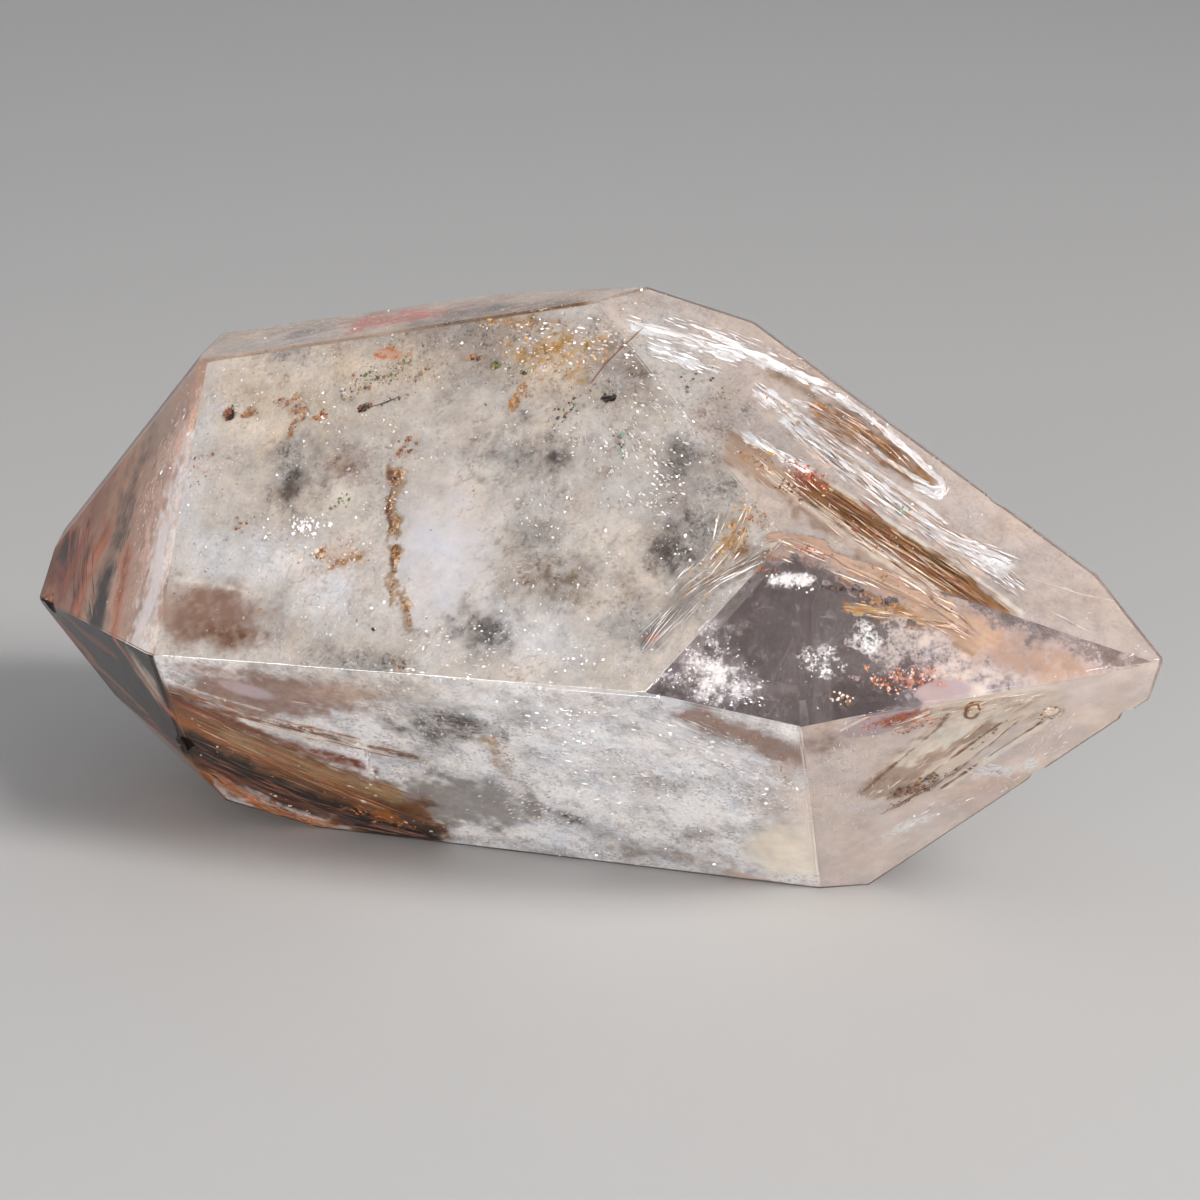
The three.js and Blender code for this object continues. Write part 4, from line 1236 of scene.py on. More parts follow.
def cloud_sheets(material):
    """A milky sheet just under each facet, in five pieces, painted with that facet's marks and with its
    painted light and shade.
    """
    for number, (group, names) in enumerate(SHEET_GROUPS.items()):
        parts = Parts()
        for name in names:
            sheet(parts, FACETS[name], CLOUD_DEPTH, CLOUD_MARGIN, CLOUD_STEP[group], CLOUD_BASES[name],
                  CLOUD_MARKS.get(name, []), seed=100 * number + 3, wave=CLOUD_WAVE,
                  shades=SHEET_TONE_AND_LIGHT.get(name, (1, 1, 1)), look=SHEET_LOOKS.get(name, (0.1, 0.0)))
        parts.piece("clouds_" + group, material)


def fog_sheets(material):
    """A plain sheet deep under each facet, seen through the windows of the first ones."""
    parts = Parts()
    for number, (name, facet) in enumerate(FACETS.items()):
        smoky = name.startswith("left")
        base = ("deep_copper", 0.8, 0.0) if smoky else ("grey_veil", 0.7, 0.3)
        if name in CLEAR_FACETS:
            base = ("smoke", 0.35, 0.1)
        sheet(parts, facet, FOG_DEPTH, FOG_DEPTH, FOG_STEP, base, [], seed=40 + number, wave=FOG_WAVE)
    parts.piece("deep_fog", material)


def listed(groups):
    """The entries of a list that is grouped by facet, each with its facet in front."""
    return [(FACETS[name], *entry) for name, entries in groups for entry in entries]


def clumps(size, seed, least=0.15):
    """A share of flakes that stay, uneven in clumps of the given size."""
    return lambda along, up: least + (1 - least) * eased(0.35 + 1.1 * ripple(along, up, size, seed, 3))


def within(along, up, middle, size):
    """Whether points lie in an ellipse round middle with half sizes size."""
    return np.hypot((along - middle[0]) / size[0], (up - middle[1]) / size[1]) < 1


def on_front(along, up):
    """Few sparkles on the smooth panel and in the smoky corner of the front."""
    smooth = within(along, up, (-3.9, -5.2), (4.6, 6.6)) | ((up < -9.5) & (along < -15))
    return clumps(2.2, 21)(along, up) * np.where(smooth, 0.1, 1.0)


def on_base(along, up):
    """Few sparkles in the amber end and the two clear patches of the lower front."""
    smooth = within(along, up, (-5.5, -6), (7, 4)) | within(along, up, (18, -7), (4.6, 6)) | (along < -9)
    return clumps(1.8, 22)(along, up) * np.where(smooth, 0.08, 1.0)


def on_window(along, up):
    """Sparkles gather at the window's milky corner."""
    far = np.hypot((along - 10) / 5, (up + 9.5) / 4)
    return clumps(1.6, 23, 0.05)(along, up) * np.clip(1.2 - far, 0.06, 1)


# Depths of the sparkles: just under the polish, or also deeper in a clear facet
SHALLOW = (0.06, 0.24)
PALE = ("frost", "milk")
# Sparkles under each facet: how many, limits along and up, depths, largest size, tints, share that stays
SPARKLES = [
    ("front_upper", [
        (14000, (-26, 19, -16, 14), SHALLOW, 0.17, ("frost", "milk", "warm_milk"), on_front),
    ]),
    ("front_lower", [
        (11000, (-26, 21, -13, 12), SHALLOW, 0.17, PALE, on_base),
    ]),
    ("right_window", [
        (2200, (6, 38, -14, -1), (0.15, 1.2), 0.16, PALE, on_window),
    ]),
    ("right_upper", [
        (3000, (0, 32, -24, 10), SHALLOW, 0.16, PALE, clumps(1.6, 24, 0.04)),
    ]),
    ("right_lower", [
        (1600, (10, 33, -8, 19), (0.15, 1.5), 0.17, PALE, clumps(1.6, 25, 0.04)),
    ]),
    ("left_upper", [
        (900, (-14, 0, -21, 4), SHALLOW, 0.14, PALE, None),
    ]),
    ("crown", [
        (1400, (-4, 6, -26, 9), SHALLOW, 0.17, PALE, clumps(1.6, 27)),
    ]),
    ("back_upper", [
        (5200, (-8, 38, -24, 12), SHALLOW, 0.17, PALE, clumps(2.2, 28)),
    ]),
    ("right_back_upper", [
        (3200, (-37, 9, -21, 13), SHALLOW, 0.17, PALE, clumps(1.8, 29, 0.05)),
    ]),
]
LEAST_SPARKLE = 0.03


def sparkling_flakes(material):
    """Tiny fracture mirrors all through the veils, thickest where the photo sparkles, and silvery
    streaks."""
    parts = Parts()
    for number, (facet, count, box, depths, largest, tints, keep) in enumerate(listed(SPARKLES)):
        flakes(parts, facet, count, box, depths, (LEAST_SPARKLE, largest), tints, 11 + number, keep)
    bundles(parts, SILVER, 900)
    parts.piece("sparkles", material, smooth=False)


# Crusts of iron minerals on each facet: (along, up), half sizes, flakes, their least and largest sizes,
# tints, spin
CRUSTS = [
    ("front_upper", [
        ((-22.9, 2.7), (0.5, 0.55), 60, (0.06, 0.2), ("brown", "deep_copper", "black_brown"), 0),
        ((-21.4, 2.9), (0.7, 0.35), 45, (0.06, 0.2), ("amber", "brown", "trough_brown"), 30),
        ((-18.4, 3.7), (1.5, 0.8), 110, (0.05, 0.17), ("brown", "amber", "tan", "deep_copper"), -20),
        ((-17.9, 2.0), (0.22, 0.8), 30, (0.06, 0.16), ("brown", "trough_brown"), -8),
        ((-15.9, 3.2), (0.4, 0.45), 40, (0.06, 0.2), ("brown", "deep_copper", "amber"), 0),
        ((-13.4, 5.6), (2.2, 0.9), 130, (0.05, 0.16), ("brown", "moss", "trough_brown", "dark_smoke"), 25),
        ((-12.9, 4.1), (0.5, 0.3), 34, (0.06, 0.18), ("black_brown", "brown"), 30),
        ((-10.6, 5.0), (1.7, 0.16), 46, (0.04, 0.12), ("dark_smoke", "brown"), 27),
        ((-10.2, 7.4), (2.2, 0.8), 110, (0.04, 0.14), ("tan", "brown", "moss"), 10),
        ((-5.6, 8.7), (0.9, 0.3), 50, (0.06, 0.18), ("brown", "amber", "black_brown"), 12),
        ((-4.1, 8.3), (0.5, 0.4), 50, (0.06, 0.18), ("black_brown", "moss", "brown"), 0),
        ((-1.7, 8.0), (0.6, 0.25), 44, (0.06, 0.18), ("moss", "black_brown"), 0),
        ((-1.8, 6.1), (0.42, 1.5), 110, (0.06, 0.16), ("tan", "amber", "trough_brown"), -12),
        ((2.0, 5.4), (0.9, 1.5), 60, (0.05, 0.14), ("moss", "dark_smoke", "brown"), -35),
        ((6.5, 3.4), (0.5, 1.0), 36, (0.05, 0.12), ("moss", "teal", "dark_smoke"), 10),
        ((4.7, 6.7), (0.55, 0.26), 60, (0.08, 0.2), ("black_brown",), 20),
        ((-11.6, -6.9), (3.2, 1.2), 150, (0.04, 0.13), ("tan", "amber", "cream"), 16),
        ((-13.4, -6.9), (0.9, 0.4), 50, (0.05, 0.16), ("tan", "brown", "cream"), 10),
        ((-8.9, 1.4), (0.9, 0.9), 70, (0.05, 0.17), ("amber", "brown", "deep_copper"), 0),
        ((-13.0, -3.1), (1.2, 0.6), 44, (0.04, 0.12), ("moss",), 30),
        ((-14.6, -5.1), (1.6, 0.7), 90, (0.05, 0.17), ("frost",), 0),
        ((-9.1, -0.9), (0.55, 0.9), 80, (0.06, 0.18), ("tan", "dun", "trough_brown", "brown"), -10),
        ((-9.0, -2.8), (0.16, 1.0), 34, (0.05, 0.14), ("brown", "tan"), 8),
        ((-8.3, -4.6), (0.36, 1.0), 70, (0.06, 0.16), ("tan", "dun", "trough_brown"), 10),
        ((-7.7, -6.3), (0.3, 0.8), 56, (0.06, 0.16), ("trough_brown", "tan", "brown"), 8),
        ((-7.5, -8.2), (0.12, 1.1), 34, (0.05, 0.12), ("brown", "tan"), 6),
        ((-6.1, -9.9), (0.36, 0.42), 50, (0.06, 0.16), ("dun", "tan", "brown"), 0),
        ((-5.6, -11.0), (0.12, 0.8), 22, (0.05, 0.12), ("brown", "tan"), 12),
        ((-5.3, -14.2), (1.3, 0.5), 60, (0.05, 0.14), ("tan", "brown", "dark_smoke"), -20),
        ((-8.1, -11.8), (0.16, 0.2), 14, (0.05, 0.1), ("black_brown",), 0),
        ((-16.6, -11.6), (0.26, 0.22), 18, (0.05, 0.12), ("amber", "ochre"), 0),
        ((-24.0, -1.4), (1.2, 1.4), 70, (0.04, 0.13), ("brown", "copper_haze"), 0),
        ((-20.4, -5.6), (1.6, 0.6), 40, (0.04, 0.12), ("tan", "brown"), 10),
        ((0.5, 9.2), (3.8, 1.5), 260, (0.04, 0.16), ("ochre", "amber", "tan", "cream"), 0),
        ((-2.6, 11.6), (3.6, 0.5), 110, (0.04, 0.16), ("trough_brown", "tan", "ochre"), 4),
        ((8.2, 9.8), (2.6, 1.2), 90, (0.04, 0.14), ("ochre", "tan", "brown"), -20),
        ((15.8, -2.4), (1.1, 2.4), 110, (0.04, 0.15), ("ochre", "amber", "brown"), -6),
        ((17.2, -0.4), (1.0, 1.4), 60, (0.04, 0.15), ("brown", "amber", "rust"), 0),
    ]),
    ("crown", [
        ((0.2, -11.3), (1.4, 2.2), 240, (0.05, 0.2), ("orange", "rust", "amber", "pink_cream"), 0),
        ((4.2, 1.6), (1.4, 3.2), 200, (0.05, 0.18), ("brown", "amber", "ochre", "tan"), 0),
        ((4.4, 4.2), (0.5, 0.9), 50, (0.05, 0.16), ("teal", "moss"), 0),
        ((2.0, -5.4), (1.6, 2.4), 90, (0.05, 0.18), ("tan", "brown", "dark_smoke"), 0),
    ]),
    ("right_window", [
        ((16.6, -2.3), (1.3, 0.5), 46, (0.05, 0.11), ("rust", "deep_copper"), -10),
        ((18.9, -2.2), (0.8, 0.5), 26, (0.05, 0.11), ("rust", "deep_copper"), -10),
        ((13.2, -3.6), (0.9, 0.6), 26, (0.05, 0.11), ("rust", "brown"), -10),
        ((14.9, -4.2), (1.7, 0.5), 60, (0.03, 0.1), ("frost",), -20),
        ((17.1, -9.6), (1.6, 1.3), 70, (0.03, 0.08), ("frost",), 0),
        ((9.8, -10.2), (3.2, 2.4), 150, (0.03, 0.08), ("frost",), 0),
        ((20.6, -5.6), (1.9, 0.35), 80, (0.06, 0.16), ("trough_brown", "amber", "brown"), -14),
        ((18.6, -4.8), (2.2, 0.14), 60, (0.05, 0.14), ("black_brown", "brown"), -8),
        ((22.8, -10.6), (3.0, 0.8), 240, (0.04, 0.12), ("rust", "orange", "pink_cream"), 4),
        ((18.5, -12.1), (0.9, 0.5), 40, (0.05, 0.13), ("brown", "cream"), 0),
    ]),
    ("right_upper", [
        ((12.2, -7.7), (1.9, 0.9), 170, (0.04, 0.14), ("rust", "orange", "pink_cream"), -45),
        ((9.4, -6.0), (1.6, 1.3), 130, (0.05, 0.17), ("brown", "amber", "ochre", "tan"), -30),
        ((14.6, -12.2), (3.0, 0.8), 110, (0.05, 0.12), ("rust", "deep_copper"), -48),
        ((10.6, -8.6), (1.6, 0.9), 90, (0.05, 0.15), ("brown", "deep_copper", "tan"), -48),
    ]),
    ("right_window", [
        ((22.6, -4.6), (3.6, 0.4), 90, (0.05, 0.14), ("brown", "trough_brown", "tan"), -25),
    ]),
    ("right_upper", [
        ((23.4, -21.2), (0.8, 0.6), 70, (0.05, 0.16), ("trough_brown", "brown", "cream"), -40),
        ((11.0, -1.6), (1.6, 0.6), 80, (0.05, 0.16), ("tan", "amber", "cream"), -50),
        ((18.2, -11.1), (1.0, 0.4), 50, (0.05, 0.14), ("teal", "moss", "milk"), -30),
        ((6.6, 0.4), (2.4, 2.4), 60, (0.04, 0.13), ("moss", "dark_smoke", "teal"), 0),
    ]),
    ("right_lower", [
        ((16.8, 13.6), (2.8, 1.4), 260, (0.05, 0.14), ("rust", "orange", "pink_cream"), 0),
        ((19.6, 5.4), (2.4, 0.8), 170, (0.06, 0.22), ("black_brown", "brown", "trough_brown"), 40),
        ((26.9, 13.4), (0.9, 0.8), 70, (0.05, 0.16), ("brown", "cream", "tan"), 0),
        ((18.4, 3.0), (1.4, 0.5), 50, (0.04, 0.11), ("rust", "brown"), 40),
        ((23.0, 11.0), (2.6, 0.3), 60, (0.04, 0.14), ("brown", "tan"), 62),
    ]),
    ("front_lower", [
        ((-1.3, 2.0), (0.5, 2.2), 70, (0.05, 0.16), ("ochre", "tan", "amber"), 0),
        ((-13.2, -10.0), (3.2, 0.8), 170, (0.06, 0.22), ("orange", "golden", "brown", "amber"), -22),
        ((-22.6, 5.6), (3.2, 0.22), 60, (0.05, 0.14), ("orange", "amber", "pale_cream"), -28),
        ((-17.4, 2.4), (3.6, 0.3), 70, (0.05, 0.14), ("brown", "golden", "black_brown"), -14),
        ((-12.1, -1.6), (0.35, 2.4), 90, (0.05, 0.18), ("frost",), 6),
        ((-20.6, -10.9), (4.6, 0.5), 110, (0.05, 0.2), ("orange", "golden", "brown"), -40),
        ((17.8, 2.0), (2.2, 0.9), 160, (0.04, 0.14), ("frost",), -20),
        ((14.8, 4.6), (3.4, 0.8), 260, (0.04, 0.15), ("frost",), -48),
        ((18.6, 4.2), (2.0, 1.6), 40, (0.04, 0.1), ("rust", "brown"), 0),
        ((-13.6, -6.6), (2.6, 2.2), 9, (0.14, 0.26), ("pale_cream",), 0),
        ((-20.5, -9.8), (4.6, 0.9), 14, (0.1, 0.22), ("pale_cream",), -40),
        ((-8, -10.6), (5, 0.8), 40, (0.05, 0.18), ("frost", "pale_cream"), -10),
    ]),
    ("back_upper", [
        ((14, -6), (10, 7), 300, (0.05, 0.2), ("brown", "amber", "tan", "moss"), 20),
    ]),
]


# Bundles of slivers under each facet: route of (along, up), spread, how many, lengths, widths, tints
SILVER = [
    ("right_upper", [
        ([(9.8, 0), (15.8, -7.6), (20.2, -13), (24.2, -15.6)], 0.34, 170, (0.5, 3.0), (0.04, 0.26)),
        ([(11.2, -2.9), (16.2, -9.4), (21.6, -15.4)], 0.3, 80, (0.6, 3.4), (0.03, 0.14)),
        ([(12.8, -4.6), (17.6, -10.6), (23, -16.6)], 0.5, 70, (0.6, 3.0), (0.03, 0.12)),
        ([(20, -12.4), (23.2, -16.4), (24.6, -18.2)], 0.4, 60, (0.4, 1.8), (0.05, 0.24)),
        ([(8.5, -4), (12.2, -7.2)], 0.3, 60, (0.3, 1.6), (0.05, 0.24)),
        ([(2.2, 6.3), (6.8, 4.2), (9.6, 2.8)], 0.5, 90, (0.4, 2.0), (0.05, 0.26)),
        ([(3.4, 4.1), (7.4, 1.8)], 0.4, 50, (0.4, 1.6), (0.04, 0.2)),
        ([(5, 6.6), (9.4, 4.4), (13.4, 1.8)], 0.3, 60, (0.4, 1.8), (0.04, 0.2)),
        ([(10.1, 2.9), (13.2, 0.7), (16.6, -2.2), (18.7, -5.0), (21.2, -8.8), (20.6, -9.9), (19.4, -9.1)],
         0.14, 170, (0.25, 1.3), (0.06, 0.34)),
        ([(12.4, -1.2), (15.4, -3.4), (18.6, -7.6), (20.4, -9.2)], 0.14, 70, (0.4, 2.0), (0.03, 0.14)),
        ([(26.2, -17.5), (28.4, -18.6), (30.6, -19.4)], 0.03, 14, (0.8, 2.4), (0.02, 0.05)),
        ([(26.2, -19.9), (28.9, -22.1)], 0.03, 12, (0.8, 2.0), (0.02, 0.05)),
    ]),
    ("right_lower", [
        ([(26.6, 4.4), (24.6, 6.4), (22.6, 7.4)], 0.5, 60, (0.2, 1.2), (0.05, 0.22)),
        ([(18.4, -1.4), (21, 1.6), (23, 3.4)], 0.5, 60, (0.2, 1.0), (0.04, 0.18)),
        ([(26.5, 8.4), (28, 13.2)], 0.6, 70, (0.15, 0.7), (0.04, 0.18)),
        ([(13, 14), (15, 6), (15.6, 0)], 1.2, 150, (0.15, 0.8), (0.03, 0.14)),
        ([(24, 3.4), (26.6, 6.6), (28.8, 10)], 0.5, 60, (0.15, 0.7), (0.03, 0.14)),
    ]),
    ("front_lower", [
        ([(9.6, 8.4), (13.5, 5.7), (15.9, 3.6), (18.3, 1.4)], 0.6, 330, (0.3, 2.2), (0.04, 0.24)),
        ([(12.2, 9.0), (15.4, 6.4), (18.2, 4.0)], 0.6, 120, (0.3, 1.6), (0.03, 0.14)),
        ([(-11.8, 0.9), (-12.2, -1.6), (-12.5, -4.1)], 0.16, 60, (0.3, 1.2), (0.05, 0.24)),
        ([(-2, -8), (4, -3), (10, 0)], 2.6, 480, (0.12, 0.7), (0.05, 0.24)),
        ([(2, 4), (8, 3), (13, -2)], 2.6, 480, (0.12, 0.7), (0.05, 0.24)),
        ([(1, 8), (6, 8.6), (12, 8)], 1.2, 200, (0.12, 0.7), (0.05, 0.22)),
        ([(-7, 6), (-6, 2), (-3.4, -1)], 1.0, 100, (0.12, 0.8), (0.04, 0.14)),
        ([(14, 1), (17, -0.6), (19, 0.6)], 0.8, 180, (0.1, 0.6), (0.06, 0.24)),
    ]),
    ("front_upper", [
        ([(18, -3.5), (14.4, -6.2), (12, -10)], 0.5, 60, (1.0, 4.0), (0.02, 0.07)),
        ([(6, 5), (8.8, 2), (11.9, 0.9)], 1.4, 190, (0.1, 0.5), (0.06, 0.26)),
        ([(7, 9.4), (10, 8.4), (13.4, 5)], 1.4, 190, (0.1, 0.6), (0.06, 0.26)),
        ([(-3, 11), (3, 11.2), (8, 10.6)], 1.0, 110, (0.1, 0.5), (0.05, 0.2)),
        ([(-6, -13.6), (0, -12.6), (8, -12)], 1.4, 130, (0.1, 0.5), (0.04, 0.16)),
    ]),
    ("right_window", [
        ([(9.4, -11.4), (11.6, -11.8), (13.6, -12)], 0.5, 60, (0.08, 0.4), (0.05, 0.16)),
    ]),
    ("crown", [
        ([(-3, -14), (1, -15), (5, -16)], 1.6, 160, (0.1, 0.6), (0.05, 0.24)),
        ([(-2, 2), (1, 4), (5, 6)], 1.6, 120, (0.1, 0.6), (0.05, 0.24)),
    ]),
    ("left_upper", [
        ([(-10.4, 0), (-12, -5), (-9.6, -10)], 1.3, 200, (0.1, 0.6), (0.05, 0.24)),
    ]),
    ("right_back_upper", [
        ([(-30, -13), (-22, -9), (-14, -3), (-6, 0)], 1.5, 150, (0.2, 1.6), (0.04, 0.2)),
        ([(-22, -7), (-14, 0), (-4, 4)], 1.2, 110, (0.2, 1.4), (0.04, 0.2)),
    ]),
    ("back_upper", [
        ([(2, 4), (10, 0), (20, -8)], 2.8, 240, (0.12, 0.9), (0.04, 0.2)),
    ]),
]
# Those of stained minerals
STAINED = [
    ("right_upper", [
        ([(12.6, -8.8), (17.3, -13.7), (20.7, -17.3), (23.2, -20.4)], 0.5, 170, (0.8, 4.5), (0.05, 0.2),
         ("brown", "trough_brown", "amber", "deep_copper", "tan")),
        ([(9.4, -6.4), (14.2, -12.2), (20.4, -19.2)], 0.7, 90, (0.8, 4.0), (0.04, 0.18),
         ("cream", "pink_cream", "tan", "pale_cream")),
        ([(11.4, -9.4), (15.7, -14.2), (21.7, -20.8)], 0.1, 50, (0.8, 3.0), (0.04, 0.12),
         ("brown", "trough_brown", "cream")),
        ([(13.6, -1.8), (16.4, -4.4), (18.8, -7.6)], 0.7, 120, (0.6, 3.0), (0.05, 0.22),
         ("brown", "trough_brown", "amber", "pink_cream")),
        ([(12.0, -3.0), (17.0, -9.6), (21.8, -14.8)], 0.7, 110, (0.8, 3.6), (0.03, 0.12),
         ("tan", "pink_cream", "trough_brown", "dim_haze")),
    ]),
    ("right_window", [
        ([(13, -1.4), (18.9, -3.2), (23.6, -5.4), (27.2, -7.6)], 0.5, 90, (0.5, 3.0), (0.04, 0.16),
         ("cream", "tan", "pale_cream", "pink_cream")),
        ([(18.6, -6), (22.8, -6.6), (26.4, -7.4)], 0.25, 60, (0.5, 2.0), (0.05, 0.2),
         ("trough_brown", "amber", "tan", "cream")),
    ]),
    ("right_lower", [
        ([(17.4, 3.6), (19.8, 7.8), (22.7, 12.6), (25, 15.2)], 1.3, 70, (0.5, 2.2), (0.06, 0.3),
         ("cream", "pale_cream", "pale_cream", "tan")),
        ([(16.4, 12.8), (20.4, 14.6), (26, 15.4)], 0.5, 110, (0.4, 2.2), (0.06, 0.26),
         ("cream", "pale_cream", "tan", "pink_cream")),
        ([(18, 2.4), (21.4, 6.4), (24.6, 12.4)], 0.12, 50, (0.6, 2.6), (0.03, 0.1),
         ("brown", "dark_smoke", "deep_copper")),
    ]),
    ("front_lower", [
        ([(-26, 2.6), (-21.6, -0.8), (-17, -4.2), (-12.6, -7)], 1.3, 300, (1.5, 7.0), (0.03, 0.16),
         ("amber", "brown", "trough_brown", "golden", "tan", "deep_copper")),
        ([(-26.4, -2.6), (-22.2, -6.4), (-17.4, -9.6), (-11, -11.6)], 0.7, 200, (1.0, 5.0), (0.04, 0.2),
         ("black_brown", "deep_copper", "black_brown", "brown")),
        ([(-26, -6.2), (-22.2, -10.2), (-16.6, -12.8)], 0.5, 130, (0.8, 4.0), (0.05, 0.2),
         ("amber", "golden", "orange", "brown")),
        ([(-25, 5.4), (-20, 2.8), (-14, 1.0), (-8, -0.4)], 0.35, 130, (0.8, 4.0), (0.03, 0.12),
         ("brown", "golden", "cream", "deep_copper", "pale_cream")),
        ([(-16, 6.4), (-8, 5.6), (-2, 4.6)], 1.0, 60, (0.6, 2.6), (0.03, 0.1),
         ("tan", "grey_veil", "cream")),
    ]),
    ("left_upper", [
        ([(-24.4, -12.4), (-20.6, -16.8), (-15, -19.2)], 1.2, 120, (0.8, 4.0), (0.05, 0.26),
         ("copper", "deep_copper", "black_brown", "copper_haze")),
        ([(-13.6, -3), (-14.6, -9), (-12.4, -14)], 0.9, 60, (0.8, 3.0), (0.04, 0.2),
         ("smoky_pink", "copper_haze", "dark_smoke")),
    ]),
    ("left_lower", [
        ([(-32, 0.4), (-24, -0.6), (-12, 0)], 1.0, 120, (1.0, 5.0), (0.04, 0.2),
         ("deep_copper", "black_brown", "copper")),
    ]),
    ("crown", [
        ([(3, -6), (4.4, 0), (4.2, 5)], 1.2, 120, (0.4, 2.0), (0.04, 0.2),
         ("brown", "amber", "tan", "cream")),
    ]),
    ("front_upper", [
        ([(16, -0.2), (15.4, -3), (13, -6.6)], 0.7, 70, (0.5, 2.6), (0.03, 0.12),
         ("ochre", "amber", "tan", "milk")),
    ]),
]


# Loose specks on the front: how many, limits along and up, least and largest size, tints
SPECKS = [
    (150, (-25, -2, -12, 11), (0.04, 0.12), ("brown", "rust", "tan", "golden")),
    (160, (-14, 6, 5, 13), (0.05, 0.15), ("brown", "moss", "trough_brown")),
    (60, (-6, 12, -2, 6), (0.04, 0.12), ("moss", "teal", "brown")),
]


def bundles(parts, groups, seed):
    """The slivers of every bundle in a list, pale where it names no tints."""
    for number, (facet, route, spread, count, lengths, widths, *tints) in enumerate(listed(groups)):
        tints = tints[0] if tints else PALE
        slivers(parts, facet, route, spread, count, lengths, widths, tints, seed + number)


def iron_specks(material):
    """Fine rust, brown and moss specks scattered through the veils, crusts of them, and stained
    slivers."""
    parts = Parts()
    for number, (count, box, sizes, tints) in enumerate(SPECKS):
        flakes(parts, FACETS["front_upper"], count, box, UNDER_POLISH, sizes, tints, 31 + number)
    for number, (facet, *settings) in enumerate(listed(CRUSTS)):
        crust(parts, facet, *settings, 800 + number)
    bundles(parts, STAINED, 960)
    parts.piece("iron_specks", material, smooth=False)


# Larger grains under each facet: (along, up, depth), (half length, half width, half thickness), colour,
# spin
GRAINS = [
    ("front_upper", [
        ((-22.9, 2.8, 0.24), (0.16, 0.18, 0.1), "black_brown", 0),
        ((-15.9, 3.2, 0.24), (0.2, 0.24, 0.12), "brown", 0),
        ((-12.9, 4.1, 0.24), (0.28, 0.16, 0.12), "black_brown", 30),
        ((-4.1, 8.3, 0.24), (0.26, 0.2, 0.12), "moss", 0),
        ((4.7, 6.7, 0.24), (0.42, 0.2, 0.15), "black_brown", 20),
        ((-8.1, -11.8, 0.24), (0.15, 0.1, 0.08), "black_brown", -40),
        ((-6.0, -9.7, 0.24), (0.26, 0.3, 0.1), "tan", 0),
    ]),
    ("right_lower", [
        ((27, 13.5, 0.3), (0.5, 0.6, 0.2), "cream", 0),
    ]),
]

# Threads under each facet: route of (along, up, depth), radii, colour
THREADS = [
    ("front_upper", [
        ([(-12.7, 4.1, 0.2), (-11.6, 4.6, 0.2), (-10.5, 5.2, 0.2)], [0.05, 0.03, 0.06, 0.02],
         "dark_smoke"),
        ([(3.2, 7.6, 0.2), (4.1, 9.4, 0.2), (6.0, 12.2, 0.2)], [0.04, 0.05, 0.04], "brown"),
    ]),
    ("right_lower", [
        ([(21.9, 14.2, 0.2), (21.6, 14.9, 0.2), (21.1, 14.8, 0.2), (20.9, 14.2, 0.2), (21.1, 13.5, 0.2),
          (21.6, 13.4, 0.2), (21.9, 14.2, 0.2)], [0.12, 0.12], "brown"),
        ([(17.2, 1.4, 0.2), (19.0, 3.6, 0.2), (20.8, 6.2, 0.2)], [0.02, 0.05, 0.02], "brown"),
    ]),
]


def grains_and_threads(material):
    """The largest grains, and the thin dark threads of the minerals."""
    parts = Parts()
    for number, (facet, *settings) in enumerate(listed(GRAINS)):
        lump(parts, facet, *settings, 500 + number)
    for facet, *settings in listed(THREADS):
        thread(parts, facet, *settings)
    parts.piece("mineral_grains", material, weld=True)


# Torn fractures under each facet: route of (along, up, depth), half width, colour, settings
FRACTURES = [
    ("right_upper", [
        ([(9.6, 0.2, 0.18), (13, -4.2, 0.22), (17.5, -9.8, 0.22), (21, -13.6, 0.22), (24.4, -15.6, 0.18)],
         0.35, "frost", dict(cover=1.0, tilt=25, ragged=0.8)),
        ([(2.2, 6.4, 0.18), (4.6, 5.6, 0.22), (7.4, 4.0, 0.22)], 0.4, "frost", dict(tilt=25, ragged=0.9)),
        ([(6.4, 6.2, 0.18), (9.6, 3.6, 0.22), (12.4, 1.6, 0.22), (15.4, -0.2, 0.22)], 0.3, "frost",
         dict(tilt=-20, ragged=0.9)),
        ([(15.0, 0.2, 0.18), (17.2, -2.8, 0.22), (19.4, -6.0, 0.22), (21.2, -9.0, 0.22),
          (19.8, -9.0, 0.22)], 0.25, "frost", dict(tilt=10, ragged=0.9)),
        ([(11.4, -0.6, 2.2), (15.6, -5.2, 2.6), (20.2, -11.0, 2.6), (23.6, -14.4, 2.2)], 0.5, "milk",
         dict(tilt=60, ragged=0.7)),
    ]),
    ("right_window", [
        ([(12.8, -1.4, 0.18), (15.6, -1.4, 0.22), (18.9, -3.1, 0.24), (23.6, -5.3, 0.22),
          (27.6, -7.7, 0.18)], 0.8, "tongue", dict(tilt=-30, ragged=0.8, torn=0.4, grain=0.3, curl=0.2)),
    ]),
    ("right_lower", [
        ([(17.6, 3.2, 0.24), (20.4, 8.0, 1.2), (23.0, 13.0, 1.2), (25.6, 15.8, 0.24)], 0.6, "cream",
         dict(tilt=30, ragged=0.6, torn=0.4)),
        ([(19.4, 3.6, 1.0), (22.4, 7.6, 1.3), (25.8, 12.2, 1.2)], 0.35, "tan", dict(tilt=-30, ragged=0.8)),
    ]),
]


def fractures(material):
    """Torn sheets of white and tan along the growth ledges of the right end."""
    parts = Parts()
    for number, (facet, route, width, colour, settings) in enumerate(listed(FRACTURES)):
        ribbon(parts, facet, route, width, colour, 700 + number, **settings)
    parts.piece("fractures", material)


# Stage: floor, light and camera


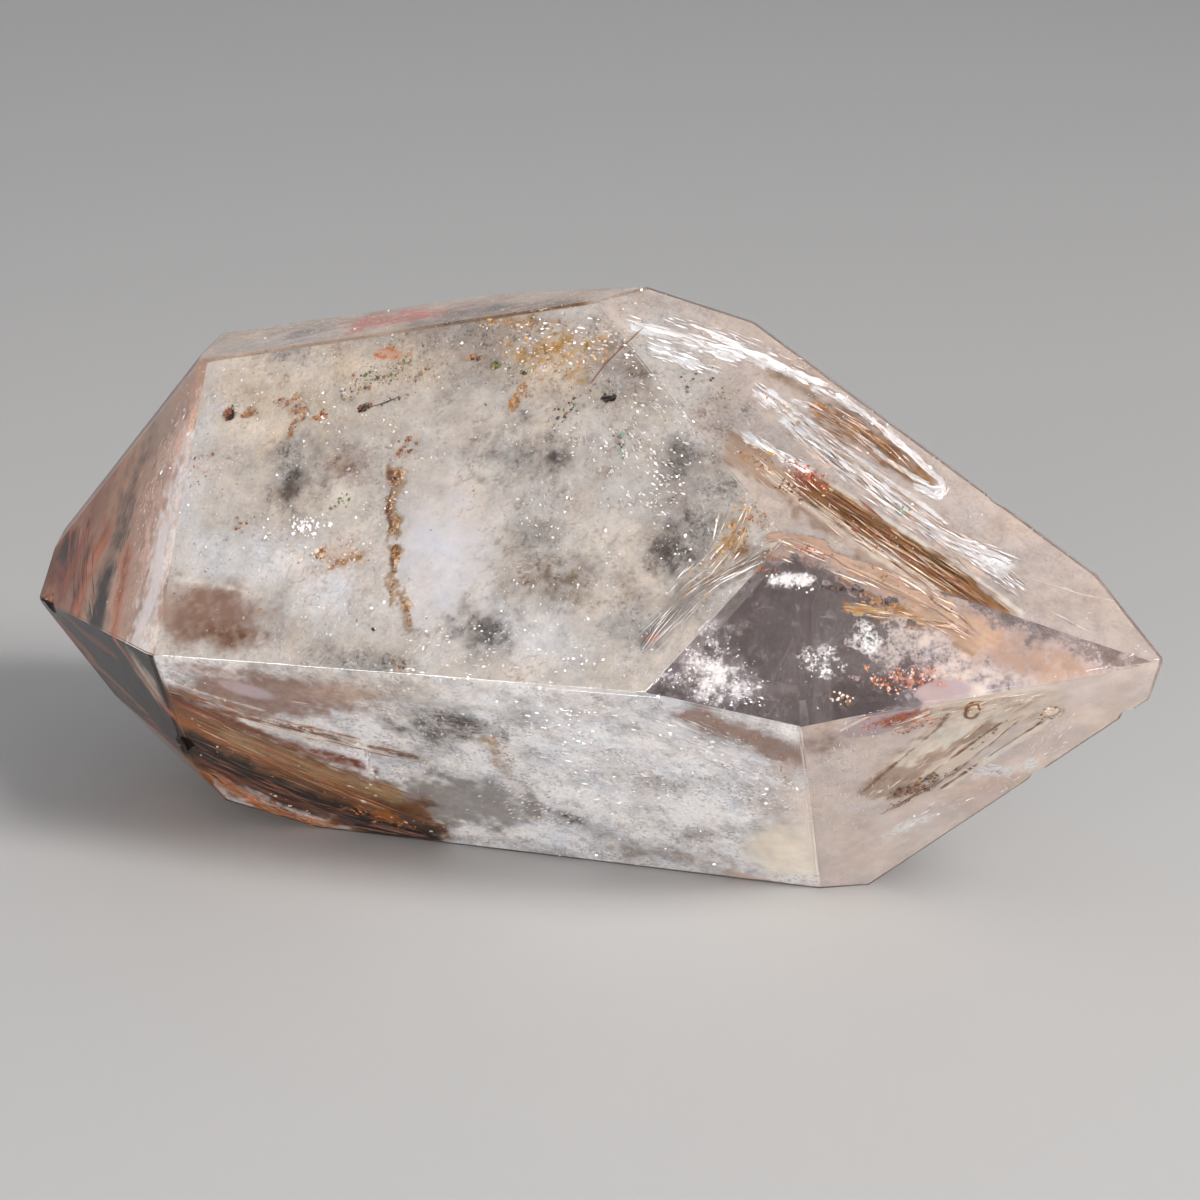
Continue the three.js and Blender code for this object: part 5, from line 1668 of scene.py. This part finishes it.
def place_camera():
    """The camera looks at the target from its turn and rise, at its distance, with no depth of field."""
    turn = math.radians(CAMERA_TURN)
    rise = math.radians(CAMERA_RISE)
    back = Vector((math.sin(turn) * math.cos(rise), -math.cos(turn) * math.cos(rise), math.sin(rise)))
    data = bpy.data.cameras.new("camera")
    data.sensor_width = 36.0
    data.lens = data.sensor_width / 2 / math.tan(math.radians(CAMERA_FIELD) / 2)
    data.clip_start = 0.01
    data.clip_end = 20.0
    camera = bpy.data.objects.new("camera", data)
    camera.location = (Vector(CAMERA_TARGET) + back * CAMERA_DISTANCE) * MM
    camera.rotation_mode = "QUATERNION"
    camera.rotation_quaternion = (-back).to_track_quat("-Z", "Y")
    SCENE.collection.objects.link(camera)
    SCENE.camera = camera


# Half the floor's width, and how far it lies below the crystal, in metres
FLOOR_HALF = 1.2
FLOOR_DROP = 0.00004


def floor():
    """A plain pale floor, a hair below the face that the crystal rests on."""
    turns = ((-1, -1), (1, -1), (1, 1), (-1, 1))
    corners = [(x * FLOOR_HALF, y * FLOOR_HALF, -FLOOR_DROP) for x, y in turns]
    mesh = bpy.data.meshes.new("floor")
    mesh.from_pydata(corners, [], [(0, 1, 2, 3)])
    piece = bpy.data.objects.new("floor", mesh)
    SCENE.collection.objects.link(piece)
    material, _, shader = new_material("floor")
    shader.inputs["Base Color"].default_value = (0.6, 0.59, 0.58, 1)
    shader.inputs["Roughness"].default_value = 0.6
    mesh.materials.append(material)


# The lights look at this place in the crystal, in metres
LIGHT_TARGET = (0, 0, 0.02)


def soft_light(name, place, size, power, tint=(1, 1, 1)):
    """A rectangle of light at place, in metres, that faces the crystal."""
    data = bpy.data.lights.new(name, "AREA")
    data.shape = "RECTANGLE"
    data.size, data.size_y = size
    data.energy = power
    data.color = tint
    light = bpy.data.objects.new(name, data)
    light.location = place
    light.rotation_mode = "QUATERNION"
    light.rotation_quaternion = (Vector(LIGHT_TARGET) - Vector(place)).to_track_quat("-Z", "Y")
    SCENE.collection.objects.link(light)


def studio():
    """Pale grey surroundings, a key light from the right, a broad fill in front and a faint card
    behind."""
    world = bpy.data.worlds.new("studio")
    world.use_nodes = True
    SCENE.world = world
    background = world.node_tree.nodes["Background"]
    background.inputs["Color"].default_value = (0.5, 0.51, 0.53, 1)
    background.inputs["Strength"].default_value = 0.6
    soft_light("key", (0.46, -0.14, 0.46), (0.2, 0.2), 3.2, tint=(1, 0.98, 0.96))
    soft_light("fill", (-0.05, -0.7, 0.08), (0.7, 0.14), 4.6, tint=(1, 0.99, 0.98))
    soft_light("card", (-0.42, 0.7, 0.17), (0.5, 0.3), 0.1)
    SCENE.view_settings.view_transform = "Standard"


# As many bounces of light as clear quartz with sheets inside it needs, and no more
LIGHT_PATHS = {
    "transparent_max_bounces": 20,
    "diffuse_bounces": 2,
    "glossy_bounces": 3,
    "transmission_bounces": 6,
    "max_bounces": 8,
    "adaptive_threshold": 0.2,
}


def crystal():
    """The whole crystal: its polished outside, then what lies inside it."""
    crystal_skin(clear_quartz())
    grain = frost_grain()
    cloud_sheets(veil("milky veil", grain, FINE_SCALE, MOTTLE_SCALE, 0.3))
    fog = veil("deep fog", grain, 2500.0, 350.0, 0.4)
    fog.use_transparent_shadow = False
    fog_sheets(fog)
    fractures(veil("fracture", grain, 3000.0, 700.0, 0.2, roughness=0.3, shine=0.6))
    sparkling_flakes(mineral("sparkle", 0.3, 0.1, metallic=0.5))
    iron_specks(mineral("iron stain", 0.5, 0.5))
    grains_and_threads(mineral("mineral grains", 0.4, 0.5))


place_camera()
studio()
floor()
crystal()
for name, value in LIGHT_PATHS.items():
    setattr(SCENE.cycles, name, value)
